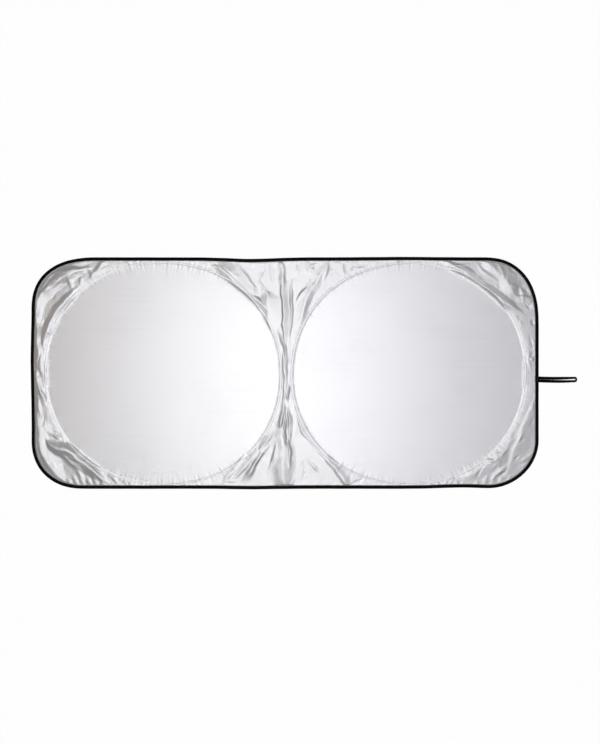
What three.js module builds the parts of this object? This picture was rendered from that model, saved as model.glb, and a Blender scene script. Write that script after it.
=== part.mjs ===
// Twist-fold windscreen shade, lying flat and open with its silver side up.
// Millimetres, +X along the length towards the elastic loop, +Y across, +Z up, z = 0 on the floor.
import * as THREE from 'three';

// Spring hoops: overall width and height on the centre line of the wire.
const leftHoopWidth = 694;
const leftHoopHeight = 653;
const rightHoopWidth = 688;
const rightHoopHeight = 650;
const hoopSquareness = 0.018;     // how much fuller than an ellipse the hoops are on their diagonals
const hoopLean = 0.006;           // how much the two hoops lean outwards at the top
const wireDiameter = 1.6;
const ferruleLength = 28;
const ferruleDiameter = 3.4;

// Tapes and cloth.
const clothThickness = 0.5;
const tapeThickness = 0.4;
const tunnelShoulderEase = 0.4;   // how much wider than the ferrule the cloth tunnel's shoulders are
const tunnelFootEase = 3.2;       // the same for its foot
const tunnelShoulderDrop = 1;     // how far the shoulders lie below the crest
const seamFromTunnel = 0.7;       // from the tunnel's foot to the row of stitches beside it
const seamFromTapeEdge = 1.2;
const bindingWidth = 8;
const bindingEdgeWall = 0.8;      // folded edge of the binding, outside the cloth
const bindingSeamInset = 6;       // from the outer edge to the binding's row of stitches
const threadWidth = 0.6;
const threadHeight = 0.4;

// Spaces left between the casings, the binding and each other.
const waistSpace = 26;            // between the two casing tapes where the hoops come closest
const leftEndSpace = 28.3;        // from the casing tape to the binding at each side of the shade
const rightEndSpace = 26.8;
const bottomSpace = 1.4;
const topSpace = 4.2;

// Rounded corners of the outer edge: reach along X, reach along Y and roundness exponent.
const corners = {
  topLeft: { alongX: 190, alongY: 150, roundness: 2.35 },
  topRight: { alongX: 160, alongY: 190, roundness: 2.3 },
  bottomRight: { alongX: 150, alongY: 140, roundness: 1.9 },
  bottomLeft: { alongX: 150, alongY: 140, roundness: 2.15 },
};

// Slow waves of the sewn edge: place along the side from the middle, length and outward height.
const topWaves = [[-104, 90, -4.5], [350, 120, 1.5]];
const bottomWaves = [[-104, 90, 1.5], [520, 90, -3.5]];
const leftWave = [33, 110, 3];

// Elastic loop sewn on the right side.
const loopReach = 114;            // beyond the outer edge of the binding
const loopBelowMiddle = 18;
const bandWidth = 7;
const bandThickness = 1;
const tailGap = 1.4;              // between the two tails, side by side
const loopSpread = 3;             // how much further apart the strands are near the far end
const tailOverlap = 9;            // how far the tails reach in over the binding and cloth
const loopEndRadius = 4.2;
const bandLean = 56;              // degrees that the strands stand up on their outer edges
const bandDropLength = 26;        // how far past the edge the strands have come down to the floor
const bandSpreadLength = 50;      // how far past the edge they have spread and stood up
const barTackWidth = 3;

// Clearances.
const gap = 0.3;                  // between sewn pieces that lie on each other
const boreGap = 0.3;              // between the wire and the ferrule, all round
const flangeInset = 0.2;          // how far the flat seam flange stays inside the casing tape's edge
const foldFade = 13;              // distance over which folds die out towards the flanges and binding

// Facets.
const hoopSegments = 60;
const panelRows = 9;
const waistColumns = 18;
const outerHalfAngle = 63;        // degrees either side of the waist that the middle patch covers

// Widths of the tunnel and casing, each round the one inside it.
const tunnelShoulderWidth = ferruleDiameter + tunnelShoulderEase;
const tunnelFootWidth = ferruleDiameter + tunnelFootEase;
const casingSeamSpacing = tunnelFootWidth + 2 * seamFromTunnel;
const casingTapeWidth = casingSeamSpacing + 2 * seamFromTapeEdge;
const tailSpacing = bandWidth + tailGap;
const loopSpacing = tailSpacing + loopSpread;

// Heights of the layers.
const clothUnder = tapeThickness + gap;
const clothTop = clothUnder + clothThickness;
const wireZ = tapeThickness + gap + wireDiameter / 2;
const ferruleZ = tapeThickness + gap + ferruleDiameter / 2;
const crestTop = wireZ + wireDiameter / 2 + 0.5 * gap + gap + clothThickness;
const ferruleCrestTop = ferruleZ + ferruleDiameter / 2 + gap + 0.5 * gap + clothThickness;
const bindingSlotTop = clothTop + gap;
const bindingTop = bindingSlotTop + tapeThickness;

// Folds of the slack cloth, as crest lines. Points are shares of a hoop's half width and half
// height from the named middle; reach is half the fold's width, rise its height in millimetres.
const fold = (from, rise, reach, ...line) => ({ from, rise, reach, line });
const folds = [
  fold('left', 9, 20, [-1.09, 0.52], [-1.03, 0.70], [-0.94, 0.81], [-0.82, 0.90]),
  fold('left', 8, 13, [-1.02, 0.34], [-0.95, 0.50], [-0.85, 0.65], [-0.74, 0.77]),
  fold('left', 5, 10, [-0.84, 0.97], [-0.72, 0.985], [-0.63, 0.97]),
  fold('left', 6, 13, [-0.60, 0.85], [-0.49, 0.94], [-0.41, 1.0]),
  fold('left', 4, 8, [-1.05, 0.20], [-1.03, 0.06], [-1.05, -0.07], [-1.03, -0.21]),
  fold('left', 9, 19, [-1.07, -0.55], [-1.03, -0.70], [-0.97, -0.83], [-0.87, -0.93]),
  fold('left', 7, 13, [-0.98, -0.57], [-0.87, -0.68], [-0.78, -0.70], [-0.56, -0.90]),
  fold('left', 5, 12, [-0.72, -0.93], [-0.66, -0.99]),
  fold('left', 5, 12, [-0.47, -0.93], [-0.38, -1.0]),
  fold('right', 8, 10, [0.35, 0.98], [0.51, 0.88], [0.69, 0.75], [0.86, 0.63], [1.04, 0.47]),
  fold('right', 8, 18, [0.64, 1.01], [0.75, 0.94], [0.85, 0.83], [0.89, 0.75]),
  fold('right', 4, 10, [0.96, 0.67], [1.07, 0.66]),
  fold('right', 6, 9, [1.08, -0.15], [1.03, -0.34], [0.97, -0.55], [0.90, -0.73], [0.83, -0.92]),
  fold('right', 7, 13, [0.51, -0.88], [0.64, -0.80], [0.76, -0.73]),
  fold('right', 5, 12, [0.56, -0.96], [0.68, -0.87], [0.80, -0.90]),
  fold('waist', 11, 11, [-0.56, 0.98], [-0.44, 0.83], [-0.31, 0.70], [-0.16, 0.60], [-0.12, 0.48]),
  fold('waist', 8, 12, [-0.38, 0.98], [-0.27, 0.83], [-0.20, 0.72]),
  fold('waist', 10, 12, [-0.06, 1.02], [-0.06, 0.85], [-0.10, 0.70], [-0.07, 0.50], [-0.03, 0.30]),
  fold('waist', 8, 8, [0.05, 1.02], [0.04, 0.60], [0.03, 0.30], [0.02, 0], [0.02, -0.30]),
  fold('waist', 9, 14, [0.33, 1.0], [0.25, 0.80], [0.15, 0.64], [0.11, 0.42]),
  fold('waist', 6, 9, [-0.04, -0.30], [-0.05, -0.62], [0.0, -0.85], [0.0, -1.0]),
  fold('waist', 11, 12, [0.07, -0.33], [0.13, -0.55], [0.29, -0.75], [0.41, -0.90], [0.50, -1.02]),
  fold('waist', 7, 11, [-0.10, -0.50], [-0.18, -0.70], [-0.33, -0.86], [-0.50, -1.0]),
  fold('waist', 6, 11, [-0.11, -0.62], [-0.22, -0.82], [-0.33, -1.0]),
  fold('waist', 5, 16, [0.14, -0.72], [0.20, -0.85], [0.22, -1.0]),
];

// Colours and finishes.
const colours = {
  silverCloth: new THREE.MeshStandardMaterial({ color: 0xd9d9dc, roughness: 0.38, metalness: 0.55 }),
  springSteel: new THREE.MeshStandardMaterial({ color: 0x8e9196, roughness: 0.3, metalness: 1 }),
  crimpSteel: new THREE.MeshStandardMaterial({ color: 0xb9bbbe, roughness: 0.35, metalness: 1 }),
  greyTape: new THREE.MeshStandardMaterial({ color: 0xbfc0c2, roughness: 0.8, metalness: 0 }),
  blackTape: new THREE.MeshStandardMaterial({ color: 0x0b0b0d, roughness: 0.85, metalness: 0 }),
  blackElastic: new THREE.MeshStandardMaterial({ color: 0x101013, roughness: 0.75, metalness: 0 }),
  greyThread: new THREE.MeshStandardMaterial({ color: 0xcfd0d3, roughness: 0.6, metalness: 0 }),
  blackThread: new THREE.MeshStandardMaterial({ color: 0x0d0d10, roughness: 0.6, metalness: 0 }),
};

const toRadians = THREE.MathUtils.degToRad;
const smooth = (from, to, value) => THREE.MathUtils.smoothstep(value, from, to);
const between = (a, b, share) => [a[0] + (b[0] - a[0]) * share, a[1] + (b[1] - a[1]) * share];
const distance = (a, b) => Math.hypot(a[0] - b[0], a[1] - b[1]);

// Sizes that follow from the hoops and the spaces round them. The waist's middle is x = 0.
const halfTape = casingTapeWidth / 2;
const halfWaist = waistSpace / 2 + halfTape;
const hoops = {
  left: {
    centre: [-halfWaist - leftHoopWidth / 2, 0],
    halfWidth: leftHoopWidth / 2,
    halfHeight: leftHoopHeight / 2,
    lean: -hoopLean,
    ferruleAngle: 180,
  },
  right: {
    centre: [halfWaist + rightHoopWidth / 2, 0],
    halfWidth: rightHoopWidth / 2,
    halfHeight: rightHoopHeight / 2,
    lean: hoopLean,
    ferruleAngle: 0,
  },
};
const highest = Math.max(leftHoopHeight, rightHoopHeight) / 2;
const leftEdge = -halfWaist - leftHoopWidth - halfTape - leftEndSpace - bindingWidth;
const rightEdge = halfWaist + rightHoopWidth + halfTape + rightEndSpace + bindingWidth;
const topEdge = highest + halfTape + topSpace + bindingWidth;
const bottomEdge = -highest - halfTape - bottomSpace - bindingWidth;
const waist = { centre: [0, 0], halfWidth: hoops.left.halfWidth, halfHeight: hoops.left.halfHeight };

// Radius of a hoop at an angle: an ellipse, a little fuller on the diagonals.
function hoopRadius(hoop, angle, outwards = 0) {
  const width = hoop.halfWidth + outwards;
  const height = hoop.halfHeight + outwards;
  const ellipse = 1 / Math.hypot(Math.cos(angle) / width, Math.sin(angle) / height);
  const diagonal = Math.sin(2 * angle);
  return ellipse * (1 + hoopSquareness * diagonal * diagonal + hoop.lean * diagonal);
}

function hoopPoint(hoop, angle, outwards = 0) {
  const radius = hoopRadius(hoop, angle, outwards);
  return [hoop.centre[0] + radius * Math.cos(angle), hoop.centre[1] + radius * Math.sin(angle)];
}

// The facets' corners lie half a step off the axes, so that each ferrule sits on one straight facet.
const hoopStep = 360 / hoopSegments;
const hoopAngles = Array.from({ length: hoopSegments }, (_, i) => toRadians((i + 0.5) * hoopStep));

// 1 where the wire runs through its ferrule, fading to 0 one facet further on.
function ferruleShare(hoop, angle) {
  const away = Math.abs(angle - toRadians(hoop.ferruleAngle));
  const turn = Math.min(away, 2 * Math.PI - away);
  return 1 - smooth(toRadians(0.6 * hoopStep), toRadians(1.5 * hoopStep), turn);
}

const lift = (hoop, angle, low, high) => low + (high - low) * ferruleShare(hoop, angle);

// Height of the outer edge above and below the middle at a place along the length.
const waves = (list, place) =>
  list.reduce((sum, [at, length, height]) => sum + height * Math.exp(-(((place - at) / length) ** 2)), 0);

function cornerDrop(corner, inwards) {
  const share = THREE.MathUtils.clamp(1 - inwards / corner.alongX, 0, 1);
  return corner.alongY * (1 - (1 - share ** corner.roundness) ** (1 / corner.roundness));
}

function topAt(x) {
  const left = cornerDrop(corners.topLeft, x - leftEdge);
  const right = cornerDrop(corners.topRight, rightEdge - x);
  return topEdge + waves(topWaves, x) - left - right;
}

function bottomAt(x) {
  const left = cornerDrop(corners.bottomLeft, x - leftEdge);
  const right = cornerDrop(corners.bottomRight, rightEdge - x);
  return bottomEdge - waves(bottomWaves, x) + left + right;
}

function insideEdge([x, y]) {
  const bulge = x < 0 ? waves([leftWave], y) : 0;
  const along = x + bulge;
  if (along < leftEdge || along > rightEdge) return false;
  return y < topAt(along) && y > bottomAt(along);
}

// Where a ray from a hoop's centre meets the outer edge, by halving.
function edgePoint(hoop, angle) {
  let near = 0;
  let far = rightEdge - leftEdge;
  for (let i = 0; i < 40; i += 1) {
    const middle = (near + far) / 2;
    const point = [hoop.centre[0] + middle * Math.cos(angle), hoop.centre[1] + middle * Math.sin(angle)];
    if (insideEdge(point)) near = middle;
    else far = middle;
  }
  return [hoop.centre[0] + near * Math.cos(angle), hoop.centre[1] + near * Math.sin(angle)];
}

// The outer edge as one loop: round the left end, along the bottom, round the right end, along the top.
const fromWaist = (hoop, angle) => {
  const towards = hoop === hoops.left ? 0 : 180;
  const turn = Math.abs(THREE.MathUtils.radToDeg(angle) - towards);
  return Math.min(turn, 360 - turn);
};
const patchLimit = outerHalfAngle - 0.5 * hoopStep;
const endAngles = (hoop) => hoopAngles.filter((angle) => fromWaist(hoop, angle) > patchLimit);
const leftEndAngles = endAngles(hoops.left);
const rightSplit = endAngles(hoops.right);
const rightEndAngles = [...rightSplit.filter((a) => a > Math.PI), ...rightSplit.filter((a) => a < Math.PI)];
const leftEnd = leftEndAngles.map((angle) => edgePoint(hoops.left, angle));
const rightEnd = rightEndAngles.map((angle) => edgePoint(hoops.right, angle));

function sideRun(start, end, heightAt) {
  return Array.from({ length: waistColumns - 1 }, (_, i) => {
    const x = start[0] + ((end[0] - start[0]) * (i + 1)) / waistColumns;
    return [x, heightAt(x)];
  });
}

const bottomRun = sideRun(leftEnd.at(-1), rightEnd[0], bottomAt);
const topRun = sideRun(rightEnd.at(-1), leftEnd[0], topAt);
const outerLoop = [...leftEnd, ...bottomRun, ...rightEnd, ...topRun];

// The loop moved inwards by a distance, each point along the bisector of its two sides.
function insetLoop(amount) {
  const count = outerLoop.length;
  return outerLoop.map((point, i) => {
    const before = outerLoop[(i + count - 1) % count];
    const after = outerLoop[(i + 1) % count];
    const sides = [[before, point], [point, after]].map(([a, b]) => {
      const length = distance(a, b);
      return [-(b[1] - a[1]) / length, (b[0] - a[0]) / length];
    });
    const sum = [sides[0][0] + sides[1][0], sides[0][1] + sides[1][1]];
    const scale = (2 * amount) / (sum[0] * sum[0] + sum[1] * sum[1]);
    return [point[0] + sum[0] * scale, point[1] + sum[1] * scale];
  });
}

const clothEdge = insetLoop(bindingEdgeWall + gap);
const clothInside = insetLoop(bindingWidth + gap);

// Stretches of an inset loop that belong to each part of the outer edge.
function loopParts(loop) {
  const a = leftEnd.length;
  const b = a + bottomRun.length;
  const c = b + rightEnd.length;
  return {
    left: loop.slice(0, a),
    bottom: [loop[a - 1], ...loop.slice(a, b), loop[b]],
    right: loop.slice(b, c),
    top: [loop[0], ...loop.slice(c).reverse(), loop[c - 1]],
  };
}

// Distance from a point to a line of points.
function distanceToLine(point, line) {
  let nearest = Infinity;
  for (let i = 1; i < line.length; i += 1) {
    const [a, b] = [line[i - 1], line[i]];
    const length = distance(a, b);
    const along = ((point[0] - a[0]) * (b[0] - a[0]) + (point[1] - a[1]) * (b[1] - a[1])) / (length * length);
    nearest = Math.min(nearest, distance(point, between(a, b, THREE.MathUtils.clamp(along, 0, 1))));
  }
  return nearest;
}

const foldLines = folds.map(({ from, rise, reach, line }) => {
  const base = from === 'waist' ? waist : hoops[from];
  const [middleX, middleY] = base.centre;
  const points = line.map(([x, y]) => [middleX + x * base.halfWidth, middleY + y * base.halfHeight]);
  return { rise, reach, points };
});
const insideLine = [...clothInside, clothInside[0]];

// How far the flat seam flange of a hoop reaches from the wire.
const flangeOut = halfTape - flangeInset;

function outsideHoop(hoop, [x, y]) {
  const angle = Math.atan2(y - hoop.centre[1], x - hoop.centre[0]);
  return distance(hoop.centre, [x, y]) - hoopRadius(hoop, angle, flangeOut);
}

// Height of the folds: rounded crests that die out at the flanges and at the binding.
function foldHeight(point) {
  const fromHoops = Math.min(outsideHoop(hoops.left, point), outsideHoop(hoops.right, point));
  const fade = smooth(0, foldFade, fromHoops) * smooth(0, foldFade, distanceToLine(point, insideLine));
  if (fade <= 0) return 0;
  const highestFold = foldLines.reduce((height, { rise, reach, points }) => {
    const away = distanceToLine(point, points) / reach;
    return Math.max(height, rise * Math.exp(-away * away));
  }, 0);
  return highestFold * fade;
}

// A thin sheet from its upper surface: triangles seen from above, given a wall and closed at its rims.
class Sheet {
  constructor() {
    this.points = [];
    this.faces = [];
    this.known = new Map();
  }

  point([x, y], z) {
    const key = `${x.toFixed(3)},${y.toFixed(3)}`;
    if (!this.known.has(key)) {
      this.known.set(key, this.points.length);
      this.points.push([x, y, z]);
    }
    return this.known.get(key);
  }

  face(a, b, c) {
    const [p, q, r] = [this.points[a], this.points[b], this.points[c]];
    const area = (q[0] - p[0]) * (r[1] - p[1]) - (q[1] - p[1]) * (r[0] - p[0]);
    if (area !== 0) this.faces.push(area > 0 ? [a, b, c] : [a, c, b]);
  }

  grid(rows) {
    for (let i = 1; i < rows.length; i += 1) {
      for (let j = 1; j < rows[i].length; j += 1) {
        const [a, b, c, d] = [rows[i - 1][j - 1], rows[i - 1][j], rows[i][j], rows[i][j - 1]];
        const middleOne = Math.abs(this.points[a][2] - this.points[c][2]);
        const middleTwo = Math.abs(this.points[b][2] - this.points[d][2]);
        if (middleOne <= middleTwo) {
          this.face(a, b, c);
          this.face(a, c, d);
        } else {
          this.face(a, b, d);
          this.face(b, c, d);
        }
      }
    }
  }

  geometry(thickness) {
    const count = this.points.length;
    const under = this.points.map(([x, y, z]) => [x, y, z - thickness]);
    const index = [];
    const edges = new Set();
    for (const [a, b, c] of this.faces) {
      index.push(a, b, c, a + count, c + count, b + count);
      [[a, b], [b, c], [c, a]].forEach(([from, to]) => edges.add(`${from},${to}`));
    }
    for (const edge of edges) {
      const [a, b] = edge.split(',').map(Number);
      if (!edges.has(`${b},${a}`)) index.push(a, a + count, b + count, a, b + count, b);
    }
    return indexedGeometry([...this.points, ...under], index);
  }
}

function indexedGeometry(points, index) {
  const geometry = new THREE.BufferGeometry();
  geometry.setAttribute('position', new THREE.Float32BufferAttribute(points.flat(), 3));
  geometry.setIndex(index);
  geometry.computeVertexNormals();
  return geometry;
}

// Solid with the same section at every station. A closed one joins its last station to its first;
// an open one has flat ends. Faces are turned round if the volume comes out negative.
function sweep(stations, closed) {
  const size = stations[0].length;
  const points = stations.flat();
  const index = [];
  const last = closed ? stations.length : stations.length - 1;
  for (let i = 0; i < last; i += 1) {
    const next = (i + 1) % stations.length;
    for (let j = 0; j < size; j += 1) {
      const [a, b] = [i * size + j, i * size + ((j + 1) % size)];
      const [c, d] = [next * size + ((j + 1) % size), next * size + j];
      index.push(a, b, c, a, c, d);
    }
  }
  if (!closed) {
    const end = (stations.length - 1) * size;
    for (let j = 1; j < size - 1; j += 1) index.push(0, j + 1, j, end, end + j, end + j + 1);
  }
  let volume = 0;
  const [a, b, c] = [new THREE.Vector3(), new THREE.Vector3(), new THREE.Vector3()];
  for (let i = 0; i < index.length; i += 3) {
    a.fromArray(points[index[i]]);
    b.fromArray(points[index[i + 1]]);
    c.fromArray(points[index[i + 2]]);
    volume += a.dot(b.cross(c));
  }
  return indexedGeometry(points, volume > 0 ? index : index.reverse());
}

// The silver cloth: two flat discs, a tunnel over each wire, and slack cloth out to the binding.
function frontPanel() {
  const sheet = new Sheet();
  const flange = {};
  for (const side of ['left', 'right']) {
    const hoop = hoops[side];
    const foot = tunnelFootWidth / 2;
    const shoulder = tunnelShoulderWidth / 2;
    const profile = (angle) => {
      const crest = lift(hoop, angle, crestTop, ferruleCrestTop);
      const slope = crest - tunnelShoulderDrop;
      return [[-foot, clothTop], [-shoulder, slope], [0, crest], [shoulder, slope], [foot, clothTop],
        [flangeOut, clothTop]];
    };
    const spokes = hoopAngles.map((angle) =>
      profile(angle).map(([out, z]) => sheet.point(hoopPoint(hoop, angle, out), z)));
    sheet.grid([...spokes, spokes[0]]);
    const centre = sheet.point(hoop.centre, clothTop);
    spokes.forEach((spoke, i) => sheet.face(centre, spoke[0], spokes[(i + 1) % spokes.length][0]));
    flange[side] = (angle) => hoopPoint(hoop, angle, flangeOut);
  }

  const edge = loopParts(clothEdge);
  const inside = loopParts(clothInside);
  const onCloth = (point) => sheet.point(point, clothTop + foldHeight(point));
  const flat = (point) => sheet.point(point, clothTop);
  const spokeOut = (start, inner, outer) => {
    const rows = Array.from({ length: panelRows }, (_, i) => between(start, inner, i / (panelRows - 1)));
    return [...rows, outer];
  };
  const endPatch = (side, angles) => angles.map((angle, i) =>
    spokeOut(flange[side](angle), inside[side][i], edge[side][i]));
  const leftPatch = endPatch('left', leftEndAngles);
  const rightPatch = endPatch('right', rightEndAngles);
  for (const patch of [leftPatch, rightPatch]) {
    sheet.grid(patch.map((spoke) => spoke.map((point, i) =>
      (i === 0 || i >= panelRows - 1 ? flat(point) : onCloth(point)))));
  }

  // Middle patch: its two sides run in from the edge, round a flange and out again.
  const waistAngles = (hoop) => hoopAngles.filter((angle) => fromWaist(hoop, angle) <= patchLimit);
  const leftWaist = waistAngles(hoops.left).reverse();
  const leftSide = [...leftWaist.filter((a) => a < Math.PI), ...leftWaist.filter((a) => a > Math.PI)];
  const rightSide = waistAngles(hoops.right);
  const sideLine = (upper, angles, side, lower) => [
    ...upper.slice(0, -1).reverse(),
    ...angles.map((angle) => flange[side](angle)),
    ...lower.slice(0, -1),
  ];
  const left = sideLine(leftPatch[0], leftSide, 'left', leftPatch.at(-1));
  const right = sideLine(rightPatch.at(-1), rightSide, 'right', rightPatch[0]);
  const rows = left.map((start, i) => {
    const down = i / (left.length - 1);
    return inside.top.map((top, j) => {
      const across = j / waistColumns;
      const plain = between(start, right[i], across);
      const atTop = between(left[0], right[0], across);
      const atBottom = between(left.at(-1), right.at(-1), across);
      return [
        plain[0] + (1 - down) * (top[0] - atTop[0]) + down * (inside.bottom[j][0] - atBottom[0]),
        plain[1] + (1 - down) * (top[1] - atTop[1]) + down * (inside.bottom[j][1] - atBottom[1]),
      ];
    });
  });
  const grid = rows.map((row, i) => row.map((point, j) => {
    const onRim = i === 0 || i === rows.length - 1;
    const onFlange = (j === 0 || j === row.length - 1) && i >= panelRows - 1 && i <= rows.length - panelRows;
    return onRim || onFlange ? flat(point) : onCloth(point);
  }));
  sheet.grid([edge.top.map(flat), ...grid, edge.bottom.map(flat)]);
  return sheet.geometry(clothThickness);
}

// Ring that follows a hoop: section points are [outwards, up], the heights may follow the ferrule.
function hoopRing(hoop, section) {
  const station = (angle) => section(angle).map(([out, z]) => [...hoopPoint(hoop, angle, out), z]);
  return sweep(hoopAngles.map(station), true);
}

function roundSection(radius, sides, z) {
  return Array.from({ length: sides }, (_, i) => {
    const turn = ((i + 0.5) * 2 * Math.PI) / sides;
    return [radius * Math.cos(turn), z + radius * Math.sin(turn)];
  });
}

const rectangle = (from, to, low, high) => [[from, low], [to, low], [to, high], [from, high]];
const stitchRow = (at, z) => [[at - threadWidth / 2, z], [at + threadWidth / 2, z], [at, z + threadHeight]];

function hoopWire(hoop) {
  return hoopRing(hoop, (angle) => roundSection(wireDiameter / 2, 6, lift(hoop, angle, wireZ, ferruleZ)));
}

function casingTape(hoop) {
  return hoopRing(hoop, () => rectangle(-halfTape, halfTape, 0, tapeThickness));
}

function casingSeam(hoop, side) {
  return hoopRing(hoop, () => stitchRow((side * casingSeamSpacing) / 2, clothTop + gap));
}

// Crimped tube over the two ends of one wire: an outer skin, a bore and two ring ends, straight.
function ferrule(hoop) {
  const middle = toRadians(hoop.ferruleAngle);
  const ends = [-0.5, 0.5].map((step) => hoopPoint(hoop, middle + toRadians(step * hoopStep)));
  const chord = distance(ends[0], ends[1]);
  const direction = [(ends[1][0] - ends[0][0]) / chord, (ends[1][1] - ends[0][1]) / chord];
  const centre = between(ends[0], ends[1], 0.5);
  const bore = wireDiameter / 2 + boreGap;
  const outer = Math.max(ferruleDiameter / 2, bore + gap);
  const halfLength = Math.min(ferruleLength, 0.9 * chord) / 2;
  const sides = 12;
  const section = [[bore, -halfLength], [outer, -halfLength], [outer, halfLength], [bore, halfLength]];
  const stations = Array.from({ length: sides }, (_, i) => {
    const turn = ((i + 0.5) * 2 * Math.PI) / sides;
    return section.map(([radius, along]) => [
      centre[0] + direction[0] * along - direction[1] * radius * Math.cos(turn),
      centre[1] + direction[1] * along + direction[0] * radius * Math.cos(turn),
      ferruleZ + radius * Math.sin(turn),
    ]);
  });
  return sweep(stations, true);
}

// Ring that follows the outer edge: section points are [inwards, up].
function edgeRing(section) {
  const loops = section.map(([inwards]) => insetLoop(inwards));
  const stations = outerLoop.map((_, i) => section.map(([, z], j) => [...loops[j][i], z]));
  return sweep(stations, true);
}

// Binding tape folded over the edge of the cloth, open towards the inside.
function edgeBinding() {
  return edgeRing([
    [0, 0], [bindingWidth, 0], [bindingWidth, tapeThickness], [bindingEdgeWall, tapeThickness],
    [bindingEdgeWall, bindingSlotTop], [bindingWidth, bindingSlotTop], [bindingWidth, bindingTop],
    [0, bindingTop],
  ]);
}

const bindingSeamZ = bindingTop + gap;
const bindingSeam = () => edgeRing(stitchRow(bindingSeamInset, bindingSeamZ));

// Route of the loop's centre line: in along one tail, out to the far end, round it and back.
const tailStart = rightEdge - tailOverlap;
const tailZ = bindingSeamZ + threadHeight + gap;
const loopEnd = rightEdge + loopReach;
const fullLean = toRadians(bandLean);
const bandHalfAcross = (bandWidth * Math.cos(fullLean) + bandThickness * Math.sin(fullLean)) / 2;

function bandRoute() {
  const halfAt = (x) => (tailSpacing + loopSpread * smooth(0, bandSpreadLength, x - rightEdge)) / 2;
  const endHalf = loopSpacing / 2;
  const radius = Math.min(loopEndRadius, endHalf);
  const straightEnd = loopEnd - radius - bandHalfAcross;
  const steps = 14;
  const out = Array.from({ length: steps + 1 }, (_, i) => {
    const x = tailStart + ((straightEnd - tailStart) * i) / steps;
    return { x, y: halfAt(x), heading: 0 };
  });
  const turnSteps = 3;
  const bend = Array.from({ length: turnSteps }, (_, i) => {
    const turn = ((i + 1) * Math.PI) / (2 * turnSteps);
    const y = endHalf - radius + radius * Math.cos(turn);
    return { x: straightEnd + radius * Math.sin(turn), y, heading: -turn };
  });
  const half = [...out, ...bend];
  const back = half.map(({ x, y, heading }) => ({ x, y: -y, heading: Math.PI - heading })).reverse();
  return [...half, ...back.map((p) => ({ ...p, heading: -p.heading }))];
}

// Band section at each step: flat on the tails, then standing up on its outer edge.
function elasticLoop() {
  const stations = bandRoute().map(({ x, y, heading }) => {
    const past = x - rightEdge;
    const lean = fullLean * smooth(0, bandSpreadLength, past);
    const floorZ = (bandWidth * Math.sin(lean) + bandThickness * Math.cos(lean)) / 2;
    const onTail = tailZ + bandThickness / 2;
    const z = onTail + (floorZ - onTail) * smooth(1, bandDropLength, past);
    const outward = [-Math.sin(heading), Math.cos(heading)];
    return rectangle(-bandWidth / 2, bandWidth / 2, -bandThickness / 2, bandThickness / 2).map(([w, t]) => {
      const across = w * Math.cos(lean) + t * Math.sin(lean);
      const up = t * Math.cos(lean) - w * Math.sin(lean);
      return [x + outward[0] * across, y - loopBelowMiddle + outward[1] * across, z + up];
    });
  });
  return sweep(stations, false);
}

// Block of dense stitches across both tails, on the binding.
function loopBarTack() {
  const length = tailSpacing + bandWidth;
  const low = tailZ + bandThickness + gap;
  const geometry = new THREE.BoxGeometry(barTackWidth, length, threadHeight);
  geometry.translate(rightEdge - bindingWidth / 2, -loopBelowMiddle, low + threadHeight / 2);
  return geometry;
}

const shade = new THREE.Group();

function add(name, geometry, material) {
  const mesh = new THREE.Mesh(geometry, material);
  mesh.name = name;
  shade.add(mesh);
}

add('front_panel', frontPanel(), colours.silverCloth);
add('edge_binding', edgeBinding(), colours.blackTape);
add('binding_seam', bindingSeam(), colours.blackThread);
for (const side of ['left', 'right']) {
  const hoop = hoops[side];
  add(`${side}_hoop_wire`, hoopWire(hoop), colours.springSteel);
  add(`${side}_hoop_ferrule`, ferrule(hoop), colours.crimpSteel);
  add(`${side}_casing_tape`, casingTape(hoop), colours.greyTape);
  add(`${side}_casing_inner_seam`, casingSeam(hoop, -1), colours.greyThread);
  add(`${side}_casing_outer_seam`, casingSeam(hoop, 1), colours.greyThread);
}
add('elastic_loop', elasticLoop(), colours.blackElastic);
add('loop_bar_tack', loopBarTack(), colours.blackThread);

// The origin is the middle of the whole shade, loop included, on the floor.
const box = new THREE.Box3().setFromObject(shade);
shade.position.set(-(box.min.x + box.max.x) / 2, -(box.min.y + box.max.y) / 2, 0);

export default shade;
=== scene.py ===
import math

import bpy
import numpy as np
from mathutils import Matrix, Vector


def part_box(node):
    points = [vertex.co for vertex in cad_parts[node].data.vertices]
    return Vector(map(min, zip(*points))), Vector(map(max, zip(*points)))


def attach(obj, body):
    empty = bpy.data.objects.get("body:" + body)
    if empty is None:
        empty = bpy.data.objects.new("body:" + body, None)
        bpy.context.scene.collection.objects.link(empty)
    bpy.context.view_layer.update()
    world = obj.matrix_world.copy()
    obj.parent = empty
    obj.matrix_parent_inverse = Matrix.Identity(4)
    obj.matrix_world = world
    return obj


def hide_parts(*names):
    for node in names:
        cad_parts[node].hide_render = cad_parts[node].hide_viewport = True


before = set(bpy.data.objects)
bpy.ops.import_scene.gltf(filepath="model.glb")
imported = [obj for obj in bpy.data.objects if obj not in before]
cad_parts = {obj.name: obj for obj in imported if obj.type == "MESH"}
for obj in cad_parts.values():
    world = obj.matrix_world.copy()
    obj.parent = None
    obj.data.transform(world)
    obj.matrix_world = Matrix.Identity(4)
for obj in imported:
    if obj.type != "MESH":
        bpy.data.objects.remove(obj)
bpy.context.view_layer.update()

mm = 0.001

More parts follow.
